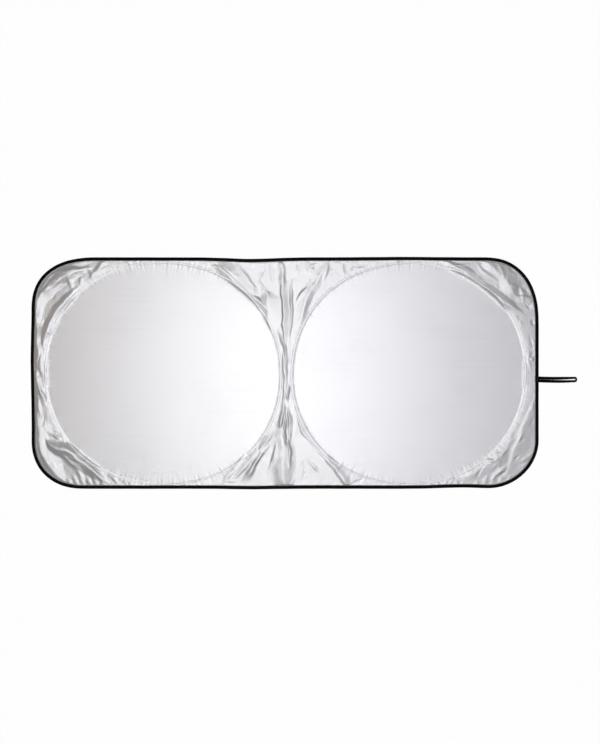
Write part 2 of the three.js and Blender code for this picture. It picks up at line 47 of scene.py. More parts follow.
# Sizes of the sewn shade, in metres. Places along and across are measured from the shade's middle.
shade = {
    "length": 1.4999,            # over the binding, without the loop
    "aboveHoops": 0.3439,        # from the hoops' middle to the top edge
    "belowHoops": 0.3411,
    "hoopDrop": 0.0028,          # the hoops' middle lies this far below the shade's middle
    "squareness": 0.018,         # the hoops are a little fuller than ellipses on their diagonals
    "lean": 0.006,
    "flange": 0.005,             # flat seam beside the tunnel, from the wire
    "seam": 0.004,               # rows of stitches, from the wire
    "clothWall": 0.0004,
    "bindingWidth": 0.0095,
    "bindingEdgeWall": 0.0008,
    "tapeThickness": 0.0004,
    "gap": 0.0003,
}
hoopSizes = {"left": (0.694, 0.653, -1, math.pi), "right": (0.688, 0.650, 1, 0.0)}

# Round corners: reach along X, reach along Y, roundness.
corners = {
    "topLeft": (0.190, 0.150, 2.35),
    "topRight": (0.160, 0.190, 2.3),
    "bottomRight": (0.150, 0.140, 1.9),
    "bottomLeft": (0.150, 0.140, 2.15),
}
# Slow waves of the sewn edge: place from the waist, length, outward height.
topWaves = ((-0.104, 0.090, -0.0045), (0.350, 0.120, 0.0015))
bottomWaves = ((-0.104, 0.090, 0.0015), (0.520, 0.090, -0.0035))
leftWave = (0.033, 0.110, 0.003)

bindingHigh = np.array(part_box("edge_binding")[1])
hoops = {}
for side, (width, height, leaning, ferruleTurn) in hoopSizes.items():
    low, high = (np.array(corner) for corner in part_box(side + "_hoop_wire"))
    hoops[side] = {
        "centre": (low[:2] + high[:2]) / 2,
        "half": (width / 2, height / 2),
        "lean": leaning * shade["lean"],
        "ferrule": ferruleTurn,
    }
hoopY = hoops["left"]["centre"][1]
rightEdge = bindingHigh[0]
leftEdge = rightEdge - shade["length"]
topEdge = hoopY + shade["aboveHoops"]
bottomEdge = hoopY - shade["belowHoops"]
waistX = (hoops["left"]["centre"][0] + hoops["left"]["half"][0]
          + hoops["right"]["centre"][0] - hoops["right"]["half"][0]) / 2
middle = np.array((rightEdge - shade["length"] / 2, hoopY + shade["hoopDrop"]))
clothTop = shade["tapeThickness"] + shade["gap"] + 0.5 * mm      # as the flat seams of the frame
bindingTop = clothTop + shade["gap"] + shade["tapeThickness"]
print("frame read: length", round(shade["length"], 4), "waist at", round(float(waistX), 4))


def smooth(low, high, value):
    # 3t^2 - 2t^3, where t runs from 0 at low to 1 at high
    t = np.clip((value - low) / (high - low), 0, 1)
    return t * t * (3 - 2 * t)


def hoopRadius(hoop, angle, outwards=0.0):
    # ellipse radius times one plus a squareness that peaks on the diagonals, plus a lean
    width, height = hoop["half"][0] + outwards, hoop["half"][1] + outwards
    ellipse = 1 / np.hypot(np.cos(angle) / width, np.sin(angle) / height)
    diagonal = np.sin(2 * angle)
    return ellipse * (1 + shade["squareness"] * diagonal ** 2 + hoop["lean"] * diagonal)


def hoopPoint(hoop, angle, outwards=0.0):
    radius = hoopRadius(hoop, angle, outwards)
    return hoop["centre"] + np.stack((radius * np.cos(angle), radius * np.sin(angle)), axis=-1)


def ferruleShare(hoop, angle):
    # 1 over the crimped joint of the wire, fading to 0 about 50 mm away
    full, gone = math.radians(3.6), math.radians(9)
    away = np.abs((angle - hoop["ferrule"] + math.pi) % (2 * math.pi) - math.pi)
    return 1 - smooth(full, gone, away)


def cornerDrop(corner, inwards):
    reachX, reachY, power = corner
    share = np.clip(1 - inwards / reachX, 0, 1)
    return reachY * (1 - (1 - share ** power) ** (1 / power))


def wave(waves, place):
    # sum of bell curves: height times exp of minus (distance / length) squared
    return sum(height * np.exp(-((place - at) / length) ** 2) for at, length, height in waves)


def topAt(x):
    drop = cornerDrop(corners["topLeft"], x - leftEdge) + cornerDrop(corners["topRight"], rightEdge - x)
    return topEdge + wave(topWaves, x - waistX) - drop


def bottomAt(x):
    rise = cornerDrop(corners["bottomLeft"], x - leftEdge) + cornerDrop(corners["bottomRight"], rightEdge - x)
    return bottomEdge - wave(bottomWaves, x - waistX) + rise


def insideEdge(point):
    bulge = np.where(point[..., 0] < waistX, wave((leftWave,), point[..., 1] - hoopY), 0)
    along = point[..., 0] + bulge
    across = (point[..., 1] < topAt(along)) & (point[..., 1] > bottomAt(along))
    return (along > leftEdge) & (along < rightEdge) & across


def edgePoint(hoop, angle):
    # where each ray from the hoop's middle crosses the outer edge, by halving the bracket
    direction = np.stack((np.cos(angle), np.sin(angle)), axis=-1)
    near, far = np.zeros(len(angle)), np.full(len(angle), shade["length"])
    for _ in range(40):
        half = (near + far) / 2
        inside = insideEdge(hoop["centre"] + direction * half[:, None])
        near, far = np.where(inside, half, near), np.where(inside, far, half)
    return hoop["centre"] + direction * near[:, None]


def inwardNormals(loop):
    # at each point of a closed loop, square to the chord between its two neighbours
    chord = np.roll(loop, -1, axis=0) - np.roll(loop, 1, axis=0)
    chord /= np.linalg.norm(chord, axis=1)[:, None]
    return np.stack((-chord[:, 1], chord[:, 0]), axis=-1)


def insetLoop(loop, amount):
    return loop + amount * inwardNormals(loop)


def runningSum(steps):
    return np.concatenate(((0,), np.cumsum(steps)))


def roundTurns(count):
    return np.arange(count) * 2 * math.pi / count


def measured(loop):
    # a loop with its first point again at its end, and how far along it each point lies
    closed = np.concatenate((loop, loop[:1]))
    return closed, runningSum(np.linalg.norm(np.diff(closed, axis=0), axis=1))


def pointsAlong(line, length, place):
    return np.stack([np.interp(place, length, line[:, k]) for k in (0, 1)], axis=-1)


def layOut(detail):
    # places of all grid lines: round, out from and across the hoops, for one fineness of the mesh
    turns = (np.arange(detail["round"]) + 0.5) * 2 * math.pi / detail["round"]
    wrapped = (turns + math.pi) % (2 * math.pi) - math.pi
    patch = {"left": np.abs(wrapped) <= detail["patchTurn"],
             "right": np.abs(turns - math.pi) <= detail["patchTurn"]}
    lines = {"turns": turns, "detail": detail}
    lines["endTurns"] = {"left": turns[~patch["left"]], "right": np.sort(wrapped[~patch["right"]])}
    lines["waistTurns"] = {"left": np.sort(wrapped[patch["left"]])[::-1], "right": turns[patch["right"]]}
    left = edgePoint(hoops["left"], lines["endTurns"]["left"])
    right = edgePoint(hoops["right"], lines["endTurns"]["right"])
    share = np.arange(1, detail["across"]) / detail["across"]
    bottomX = left[-1, 0] + (right[0, 0] - left[-1, 0]) * share
    topX = right[-1, 0] + (left[0, 0] - right[-1, 0]) * share
    lines["edge"] = np.concatenate((left, np.stack((bottomX, bottomAt(bottomX)), axis=-1),
                                    right, np.stack((topX, topAt(topX)), axis=-1)))
    lines["counts"] = (len(left), len(bottomX), len(right))
    return lines


def loopParts(loop, counts):
    a, b = counts[0], counts[0] + counts[1]
    c = b + counts[2]
    top = np.concatenate((loop[:1], loop[c:][::-1], loop[c - 1:c]))
    return {"left": loop[:a], "bottom": loop[a - 1:b + 1], "right": loop[b:c], "top": top}


faceLines = layOut({"round": 720, "out": 42, "across": 116, "patchTurn": math.radians(63)})
backLines = layOut({"round": 360, "out": 18, "across": 48, "patchTurn": math.radians(63)})
outerLoop = faceLines["edge"]


# Main folds of the slack cloth: rise of the crest, reach on the left and on the right of its direction, and
# its points, all in millimetres from the shade's middle. Where two of them meet, the higher one holds.
folds = (
    # top left corner: the outer crest, and the one beside the hoop
    (7.6, 38, 22, ((-747, 90), (-741, 165), (-726, 214), (-694, 254), (-652, 284), (-602, 304), (-555, 316))),
    (5.0, 15, 25, ((-716, 60), (-708, 112), (-688, 163), (-654, 209), (-620, 244), (-590, 268))),
    (2.6, 10, 26, ((-584, 272), (-556, 304), (-528, 336))),
    # left side
    (2.6, 13, 9, ((-740, 128), (-733, 90), (-731, 60), (-735, 25))),
    (2.4, 12, 9, ((-724, 70), (-722, 20), (-714, -20))),
    (4.0, 11, 16, ((-738, 8), (-729, -40), (-714, -75), (-702, -110))),
    # bottom left corner: the outer crest, and the one beside the hoop
    (6.6, 40, 22, ((-738, -95), (-732, -150), (-728, -180), (-722, -225), (-705, -268), (-675, -304),
                   (-635, -334))),
    (8.4, 24, 23, ((-742, -172), (-705, -202), (-678, -224), (-658, -228), (-636, -234), (-612, -255),
                   (-572, -285), (-512, -334))),
    # top right corner: a sharp crest along the hoop, and the wide one outside it
    (6.4, 16, 30, ((440, 346), (498, 316), (527, 299), (557, 277), (597, 248), (627, 227), (657, 206),
                   (687, 185), (706, 171), (724, 162))),
    (4.8, 36, 30, ((568, 344), (592, 331), (625, 305), (655, 268), (672, 240), (694, 212))),
    # bottom right corner
    (2.2, 26, 24, ((500, -316), (548, -297), (585, -281), (632, -252), (670, -212))),
    # above the waist: two crests by the left casing, three pleats in the middle, and one crest by the right
    (4.2, 10, 26, ((-234, 338), (-170, 288), (-144, 262), (-103, 229), (-76, 210), (-57, 192), (-49, 177),
                  (-44, 150), (-39, 118))),
    (3.6, 28, 18, ((-206, 334), (-150, 278), (-100, 232), (-70, 206))),
    (2.6, 8, 13, ((-12, 352), (-8, 300), (-5, 240))),
    (3.4, 38, 22, ((-46, 262), (-53, 222), (-51, 176), (-44, 138), (-34, 104))),
    (3.0, 18, 6, ((-12, 316), (-8, 225), (-6, 180), (-4, 140), (-1, 66))),
    (2.8, 15, 23, ((134, 340), (95, 270), (71, 238), (58, 197), (48, 158), (39, 112))),
    # waist
    (2.2, 7, 5, ((-26, 136), (-11, 96), (-1, 61), (3, 12), (2, -28))),
    (2.2, 9, 5, ((-6, 80), (-4, 35), (-3, 0), (-3, -40), (-4, -110))),
    # below the waist: a crest by the right casing that widens at its lower end, the middle pleat, a fan of
    # folds on the left, and the wide pleat down to the edge with a narrow one beside it
    (2.3, 38, 5, ((20, -70), (30, -112), (45, -162), (52, -179), (79, -208), (104, -236), (130, -262),
                  (156, -296), (188, -342))),
    (3.4, 22, 11, ((96, -226), (130, -260), (156, -294), (196, -352))),
    (2.8, 9, 11, ((-4, -70), (-6, -110), (-12, -148), (-15, -195))),
    (2.3, 9, 20, ((-20, -150), (-38, -182), (-64, -217), (-109, -267), (-160, -330))),
    (1.9, 8, 13, ((-90, -206), (-112, -233), (-146, -278), (-194, -338))),
    (2.1, 9, 15, ((-36, -188), (-54, -218), (-84, -262), (-121, -340))),
    (5.2, 34, 32, ((-8, -132), (-8, -200), (-6, -270), (-4, -392))),
    (1.8, 6, 5, ((-11, -170), (-4, -230), (0, -300))),
)
# Small creases, added to whatever the main folds give. A groove has a negative rise.
creases = (
    (1.8, 10, 10, ((-690, 294), (-630, 302), (-574, 315))),
    (1.3, 6, 7, ((-742, 190), (-722, 232), (-690, 272))),
    (1.3, 7, 6, ((-731, 236), (-702, 276), (-664, 306))),
    (1.2, 6, 6, ((-700, 296), (-655, 318), (-600, 332))),
    (1.4, 8, 8, ((-660, 321), (-610, 325), (-560, 331))),
    (1.9, 11, 7, ((-640, 300), (-636, 270), (-626, 238))),
    (1.8, 7, 5, ((-606, 292), (-603, 256))),
    (1.5, 8, 6, ((-590, 326), (-578, 300), (-570, 272))),
    (1.2, 12, 12, ((-740, 262), (-690, 242))),
    (1.2, 12, 12, ((-712, 296), (-676, 262))),
    (2.0, 11, 13, ((-680, -232), (-635, -262), (-607, -292), (-586, -335))),
    (2.0, 8, 8, ((-736, -50), (-726, -104), (-718, -150))),
    (2.0, 7, 7, ((-538, -282), (-508, -312), (-488, -335))),
    (2.0, 7, 7, ((-513, -278), (-486, -310), (-462, -336))),
    (1.5, 6, 6, ((-488, -292), (-451, -335))),
    (2.4, 6, 16, ((668, 232), (712, 220), (750, 214))),
    (1.8, 12, 9, ((690, 262), (700, 232), (704, 200))),
    (1.8, 8, 7, ((552, 336), (585, 300), (615, 276), (648, 244))),
    (1.0, 9, 9, ((722, 74), (720, 30), (726, -4))),
    (1.8, 34, 9, ((752, -34), (726, -104), (692, -194), (660, -280), (640, -334))),
    (1.4, 10, 9, ((740, -230), (712, -255), (684, -264))),
    (1.6, 12, 8, ((606, -324), (632, -296), (660, -280))),
    (1.8, 8, 11, ((-154, 332), (-122, 296), (-102, 266), (-80, 240))),
    (1.1, 5, 5, ((-82, 278), (-54, 234))),
    (2.0, 6, 6, ((21, 306), (19, 240), (18, 180), (17, 130), (13, 80))),
    (2.0, 9, 5, ((68, 262), (50, 236), (29, 200))),
    (1.8, 6, 5, ((129, 340), (121, 295), (111, 254))),
    (1.4, 6, 5, ((170, 330), (169, 305), (174, 276))),
    (1.5, 8, 6, ((65, 338), (68, 307), (88, 286))),
    (1.4, 6, 6, ((95, 325), (78, 310), (94, 294))),
    (1.2, 8, 8, ((-46, 336), (-40, 290), (-30, 254))),
    (2.0, 6, 5, ((9, -24), (8, -60), (10, -96))),
    (2.2, 10, 6, ((8, -92), (12, -160), (16, -212))),
    (2.4, 6, 5, ((-1, -110), (-1, -185), (5, -236))),
    (2.4, 9, 4, ((8, -180), (11, -220), (12, -284), (24, -294))),
    (2.6, 7, 11, ((-60, -232), (-98, -286), (-134, -337))),
    (1.8, 8, 6, ((-28, -192), (-34, -250), (-56, -308))),
    (1.4, 7, 7, ((54, -244), (82, -275), (104, -302))),
)
# Rows of short ripples that run in from the binding: first place, last place, count, length, rise.
edgeRipples = (
    ((-628, -344), (-530, -346), 6, (-24, 52), 1.8),
    ((560, -346), (656, -330), 5, (14, 40), 1.3),
    ((430, -344), (520, -344), 6, (8, 30), 1.1),
    ((-500, 344), (-430, 344), 4, (26, -34), 1.0),
    ((60, -346), (150, -345), 4, (4, 32), 0.8),
    ((-95, 340), (-30, 342), 4, (-4, -44), 0.8),
)
ripple = {"reach": (7, 8), "shortest": 0.8, "spread": 0.4}
crinkles = {
    "seed": 7,
    "count": 340,
    "area": (0.745, 0.335),       # half the length and height that they are strewn over
    "fromWire": 0.012,
    "rise": 0.75,
    "nearWaist": (200, 0.6),      # up to this far from the waist the rise has this share
    "width": (3.5, 8),
    "length": (18, 70),
    "swing": 0.45,                # of the direction, in radians
    "bend": 0.12,
    "fan": (120, 260, 0.3),       # by the waist: half width, millimetres for a radian, swing
}
foldForm = {
    "power": 1.25,
    "endReach": 0.15,
    "crest": 0.12,
    "smallCrest": 0.3,
    "swell": (0.15, 11, 5),       # share of the rise, and its turns by the way along and by the rise
}
# The lines of the folds wander along X and along Y: swing, length along X, length along Y, in millimetres.
foldWander = (((1.6, 31, 17), (0.9, -11, 7.3)), ((1.6, 19, -27), (0.9, 8.1, 9.7)))
slackCloth = {
    "rise": 0.6 * mm,
    "fade": 0.030,
    "foldOntoDisc": 0.021,        # how far past the flat seam the main folds run out
    "fadeHoop": 0.007,
    "fadeEdge": 0.005,
    "tuck": 1.3 * mm,             # the cloth dips under the binding over this distance
    "leftTuck": 8 * mm,           # and over this much more by the lower part of the left edge
    "leftTuckAcross": (-600, -715),
    "leftTuckUp": (230, 120),
    "softness": 0.4 * mm,         # of the limit that keeps the grooves from going below the discs
    "shadeAndCrumpleFrom": 4 * mm,           # outwards from the wire, the crumple bumps and the painted shade of the slack cloth come in over this way
    "shadeAndCrumpleTo": 18 * mm,
}
casing = {
    "step": (1.8 * mm, 3.2 * mm),         # slack cloth above the discs: by the waist, and at the far ends
    "stepPlaces": (200, 600),             # millimetres from the middle between which the step grows
    "from": -6 * mm,                      # the step rises over this way, past the wire
    "to": 9 * mm,
    "joinFrom": 3 * mm,                   # further out than this a fold starts to stand on the step
    "joinTo": 24 * mm,
    "lift": 0.4 * mm,                     # of the round rise over the wire
    "width": 3.5 * mm,
    "groove": (0.05 * mm, 0.35 * mm),     # depth at the inner and at the outer row of stitches
    "grooveWidth": 0.9 * mm,
    "bump": 1.7 * mm,                     # over the crimped joint
    "bumpWidth": 6.0 * mm,
    "puckers": ((1, 1.9, 0), (0.8, 2.7, 1.3), (0.7, 5.1, 0.6), (0.6, 9.3, 2.1)),
    "puckerRise": ((0, 3, 5, 9, 20), (0.08, 0.08, 0.20, 0.13, 0)),      # from the wire, and the rise there
}


def smoothLine(points, perSpan=8):
    # Catmull-Rom curve through the points, perSpan steps to each span
    points = np.array(points, float)
    padded = np.concatenate((2 * points[:1] - points[1:2], points, 2 * points[-1:] - points[-2:-1]))
    t = (np.arange(perSpan) / perSpan)[None, :, None]
    p0, p1, p2, p3 = (padded[i:len(padded) - 3 + i, None, :] for i in range(4))
    curve = 0.5 * (2 * p1 + (p2 - p0) * t + (2 * p0 - 5 * p1 + 4 * p2 - p3) * t ** 2
                   + (3 * p1 - p0 - 3 * p2 + p3) * t ** 3)
    return np.concatenate((curve.reshape(-1, 2), points[-1:]))


def alongLine(points, line):
    # signed distance (left of the direction is positive) and share of the way along, for every point
    start, span = line[:-1], line[1:] - line[:-1]
    length = np.linalg.norm(span, axis=1)
    passed = runningSum(length)
    best = np.full(len(points), np.inf)
    signed, share = np.zeros(len(points)), np.zeros(len(points))
    for i in range(len(start)):
        offset = points - start[i]
        t = np.clip((offset @ span[i]) / length[i] ** 2, 0, 1)
        away = offset - t[:, None] * span[i]
        distance = np.hypot(away[:, 0], away[:, 1])
        nearer = distance < best
        best = np.where(nearer, distance, best)
        sign = np.sign(span[i][0] * offset[:, 1] - span[i][1] * offset[:, 0])
        signed = np.where(nearer, sign * distance, signed)
        share = np.where(nearer, (passed[i] + t * length[i]) / passed[-1], share)
    return signed, share


def foldAt(points, rise, leftReach, rightReach, line, taper=0.3, crest=foldForm["crest"]):
    # a tent with a rounded top: (1 - t) to a power, where t is the distance over the reach; both its rise and
    # its reach shrink towards the ends, and the rise swings a little along the fold
    form, reach = foldForm, max(leftReach, rightReach)
    low, high = line.min(axis=0) - reach, line.max(axis=0) + reach
    near = np.flatnonzero(np.all((points > low) & (points < high), axis=1))
    signed, share = alongLine(points[near], line)
    ends = smooth(0, taper, share) * smooth(0, taper, 1 - share)
    shrink = form["endReach"] + (1 - form["endReach"]) * ends
    t = np.abs(signed) / (np.where(signed > 0, leftReach, rightReach) * shrink)
    t = np.sqrt(t ** 2 + crest ** 2) - crest
    swell, byWay, byRise = form["swell"]
    swell = 1 + swell * np.sin(byWay * share + byRise * rise)
    return near, rise * np.clip(1 - t, 0, 1) ** form["power"] * ends * swell


def nearestHoop(points):
    # signed distance past the wire of the nearer hoop, the place round it in metres, and its ferrule's share
    found = []
    for hoop in hoops.values():
        offset = points - hoop["centre"]
        angle = np.arctan2(offset[:, 1], offset[:, 0])
        away = np.hypot(offset[:, 0], offset[:, 1]) - hoopRadius(hoop, angle)
        found.append((away, angle * hoop["half"][0], ferruleShare(hoop, angle)))
    (awayA, arcA, ferruleA), (awayB, arcB, ferruleB) = found
    first = awayA < awayB
    return np.where(first, awayA, awayB), np.where(first, arcA, arcB), np.where(first, ferruleA, ferruleB)


def insideBinding(points):
    # distance in from the binding's inner edge, 0 under the binding, from a thinned loop
    line = outerLoop[::3]
    best = np.full(len(points), np.inf)
    span = np.roll(line, -1, axis=0) - line
    for i in range(len(line)):
        offset = points - line[i]
        t = np.clip((offset @ span[i]) / (span[i] @ span[i]), 0, 1)
        away = offset - t[:, None] * span[i]
        best = np.minimum(best, np.hypot(away[:, 0], away[:, 1]))
    return np.maximum(best - shade["bindingWidth"] - shade["gap"], 0)


def crinkleLines():
    # short random creases: round the hoops in the corners, and fanning out above and below the waist
    random = np.random.default_rng(crinkles["seed"])
    area = np.array(crinkles["area"])
    places = random.uniform(-area, area, (crinkles["count"] * 6, 2))
    slack = places[nearestHoop(places + middle)[0] > crinkles["fromWire"]] / mm
    fanHalf, fanOut, fanSwing = crinkles["fan"]
    waistReach, waistShare = crinkles["nearWaist"]
    for start in slack[:crinkles["count"]]:
        hoopMiddle = hoops["left" if start[0] < 0 else "right"]["centre"]
        outward = start - (hoopMiddle - middle) / mm
        turn = math.atan2(outward[1], outward[0]) + math.pi / 2 + random.normal(0, crinkles["swing"])
        if abs(start[0]) < fanHalf:
            turn = math.pi / 2 - start[0] / fanOut * np.sign(start[1]) + random.normal(0, fanSwing)
        along = np.array((math.cos(turn), math.sin(turn))) * random.uniform(*crinkles["length"]) / 2
        bend = np.array((-along[1], along[0])) * random.normal(0, crinkles["bend"])
        line = smoothLine((start - along, start + bend, start + along), 3)
        rise = crinkles["rise"] * random.normal(0, 1) * (waistShare if abs(start[0]) < waistReach else 1.0)
        yield rise, *random.uniform(*crinkles["width"], 2), line


def rippleLines():
    # the length of each ripple of a row is a different share of the row's
    for first, last, count, reach, rise in edgeRipples:
        for share in np.linspace(0, 1, count):
            start = np.array(first) + (np.array(last) - np.array(first)) * share
            length = ripple["shortest"] + ripple["spread"] * ((share * 7) % 1)
            yield rise, *ripple["reach"], smoothLine((start, start + np.array(reach) * length), 4)


def sineSum(place, waves):
    # rise times the sine of (place / length + phase), summed, with the lengths in millimetres
    return sum(rise * np.sin(place / (length * mm) + phase) for rise, length, phase in waves)


def casingHeight(fromWire, arc, ferrule):
    # a low round rise over the wire, a groove at each row of stitches, a bump over the crimped joint, and
    # small puckers along the seams: sines of uneven length, strongest beside the stitches
    rise = casing["lift"] * np.exp(-(fromWire / casing["width"]) ** 2)
    depth = np.where(fromWire < 0, *casing["groove"])
    groove = depth * np.exp(-((np.abs(fromWire) - shade["seam"]) / casing["grooveWidth"]) ** 2)
    bump = casing["bump"] * ferrule * np.exp(-(fromWire / casing["bumpWidth"]) ** 2)
    places, heights = (np.array(row) * mm for row in casing["puckerRise"])
    pucker = sineSum(arc, casing["puckers"]) * np.interp(np.abs(fromWire), places, heights)
    return rise - groove + bump + pucker


def clothHeight(points):
    # a low rise, the highest main fold at each place, all small creases, and the casing over the hoops
    local = (points - middle) / mm
    x, y = local[:, 0], local[:, 1]
    wander = [sum(swing * np.sin(x / alongX + y / alongY) for swing, alongX, alongY in waves)
              for waves in foldWander]
    wandered = local + np.stack(wander, axis=-1)
    main, small = np.zeros(len(points)), np.zeros(len(points))
    for *sizes, line in folds:
        near, height = foldAt(wandered, *sizes, smoothLine(line))
        main[near] = np.maximum(main[near], height)
    for *sizes, line in creases:
        near, height = foldAt(wandered, *sizes, smoothLine(line), taper=0.4)
        small[near] += height
    for *sizes, line in (*rippleLines(), *crinkleLines()):
        near, height = foldAt(local, *sizes, line, taper=0.5, crest=foldForm["smallCrest"])
        small[near] += height
    fromWire, arc, ferrule = nearestHoop(points)
    fromEdge = insideBinding(points)
    fromHoop = fromWire - shade["flange"]
    inner = smooth(0, slackCloth["tuck"], fromEdge)
    small *= smooth(0, 0.5 * slackCloth["fadeEdge"], fromEdge)
    small *= smooth(-slackCloth["fadeHoop"], slackCloth["fadeHoop"], fromHoop)
    main *= smooth(0, slackCloth["fadeEdge"], fromEdge) * smooth(-slackCloth["foldOntoDisc"], 0, fromHoop)
    low, high = casing["step"]
    step = low + (high - low) * smooth(*casing["stepPlaces"], np.abs(x))
    step = step * smooth(casing["from"], casing["to"], fromWire)
    byLeftEdge = smooth(*slackCloth["leftTuckAcross"], x) * smooth(*slackCloth["leftTuckUp"], y)
    step *= smooth(0, slackCloth["tuck"] + slackCloth["leftTuck"] * byLeftEdge, fromEdge)
    # by the hoop a fold takes the step's place instead of standing on it
    joined = np.hypot(main, step / mm)
    main = joined + (main + step / mm - joined) * smooth(casing["joinFrom"], casing["joinTo"], fromWire)
    base = slackCloth["rise"] * smooth(0, slackCloth["fade"], fromHoop) * inner
    soft = slackCloth["softness"]
    height = np.logaddexp(0, (base + (main + small) * mm) / soft) * soft - soft * math.log(2)
    return clothTop + np.maximum(height, 0) + casingHeight(fromWire, arc, ferrule) * inner


def newObject(name, vertices, faces, smoothed=True):
    mesh = bpy.data.meshes.new(name)
    mesh.from_pydata(vertices.tolist(), [], [list(map(int, face)) for face in faces])
    mesh.polygons.foreach_set("use_smooth", np.full(len(mesh.polygons), smoothed))
    piece = bpy.data.objects.new(name, mesh)
    bpy.context.scene.collection.objects.link(piece)
    return piece


def gridFaces(rows, columns, closedRows=False, closedColumns=False):
    # quads between neighbouring rows and columns of a grid of vertices
    i = np.arange(rows if closedRows else rows - 1)[:, None]
    j = np.arange(columns if closedColumns else columns - 1)[None, :]
    a, b = i * columns + j, i * columns + (j + 1) % columns
    c, d = ((i + 1) % rows) * columns + (j + 1) % columns, ((i + 1) % rows) * columns + j
    return np.stack((a, b, c, d), axis=-1).reshape(-1, 4)


def setUv(piece, rows, columns, alongU, alongV, closedRows, closedColumns):
    # u follows the rows and v the columns, in metres, with the wrapped faces carried on past the end
    i = np.arange(rows if closedRows else rows - 1)[:, None, None] + np.array((0, 0, 1, 1))
    j = np.arange(columns if closedColumns else columns - 1)[None, :, None] + np.array((0, 1, 1, 0))
    i, j = np.broadcast_arrays(i, j)
    uv = np.stack((alongU[i], alongV[j]), axis=-1).reshape(-1, 2)
    layer = piece.data.uv_layers.new(name="weave")
    flat = np.zeros((len(piece.data.loops), 2))
    flat[:len(uv)] = uv
    layer.data.foreach_set("uv", flat.ravel())


def sweptSurface(name, stations, closed=True):
    # stations[i, j] is point j of the section at station i; an open sweep gets flat ends
    rows, columns = stations.shape[:2]
    faces = gridFaces(rows, columns, closed, True)
    vertices = stations.reshape(-1, 3)
    following = np.roll(stations, -1, axis=0) if closed else np.concatenate((stations[1:], stations[-1:]))
    alongU = runningSum(np.linalg.norm(following - stations, axis=2).mean(axis=1))
    alongV = runningSum(np.linalg.norm(np.roll(stations[0], -1, axis=0) - stations[0], axis=1))
    corner = stations[0, 1] - stations[0, 0], stations[1, 0] - stations[0, 0]
    outward = stations[0, 0] - stations[0].mean(axis=0)
    flip = np.dot(np.cross(corner[0], corner[1]), outward) < 0
    ends = [] if closed else [list(range(columns))[::-1], [(rows - 1) * columns + j for j in range(columns)]]
    piece = newObject(name, vertices, [*faces.tolist(), *ends])
    setUv(piece, rows, columns, alongU, alongV, closed, True)
    if flip:
        piece.data.flip_normals()
    return piece


# Rings of points of the casings, in millimetres from the wire, and of the discs, as shares of the way out.
casingRings = (-20, -14, -10, -7.5, -5.6, -4.8, -4, -3.2, -2, -0.7, 0.7, 2, 3.2, 4, 5)
discRings = (0.85, 0.6, 0.3)


def clothPatches(lines, heightAt):
    # grids of points seen from above: discs and casings round each hoop, two end patches, the waist patch
    def lifted(flat):
        return np.dstack((flat, heightAt(flat.reshape(-1, 2)).reshape(flat.shape[:2])))

    def around(inset):
        return loopParts(insetLoop(lines["edge"], inset), lines["counts"])

    discs = [lifted(np.stack([hoopPoint(hoop, lines["turns"], outwards * mm) for outwards in casingRings]))
             for hoop in hoops.values()]
    underBinding = shade["bindingWidth"] + shade["gap"]
    edge, inside = around(shade["bindingEdgeWall"] + shade["gap"]), around(underBinding)
    beside = around(underBinding + slackCloth["tuck"])
    out = lines["detail"]["out"]
    shares = (np.arange(out) / (out - 1))[None, :, None]
    flange, spokes = {}, {}
    for side, hoop in hoops.items():
        start = hoopPoint(hoop, lines["endTurns"][side], shade["flange"])
        flange[side] = start, hoopPoint(hoop, lines["waistTurns"][side], shade["flange"])
        spoke = start[:, None, :] + (beside[side] - start)[:, None, :] * shares
        spokes[side] = np.concatenate((spoke, inside[side][:, None, :], edge[side][:, None, :]), axis=1)
    leftSide = np.concatenate((spokes["left"][0, -3::-1], flange["left"][1], spokes["left"][-1, :-2]))
    rightSide = np.concatenate((spokes["right"][-1, -3::-1], flange["right"][1], spokes["right"][0, :-2]))
    down = np.linspace(0, 1, len(leftSide))[:, None, None]
    across = np.linspace(0, 1, lines["detail"]["across"] + 1)[None, :, None]
    plain = leftSide[:, None] * (1 - across) + rightSide[:, None] * across
    plain += (1 - down) * (beside["top"][None] - plain[:1]) + down * (beside["bottom"][None] - plain[-1:])
    waist = np.concatenate((edge["top"][None], inside["top"][None], plain,
                            inside["bottom"][None], edge["bottom"][None]))
    sheets = [lifted(flat) for flat in (spokes["left"], spokes["right"], waist)]
    return [(grid, True) for grid in discs] + [(grid, False) for grid in sheets]


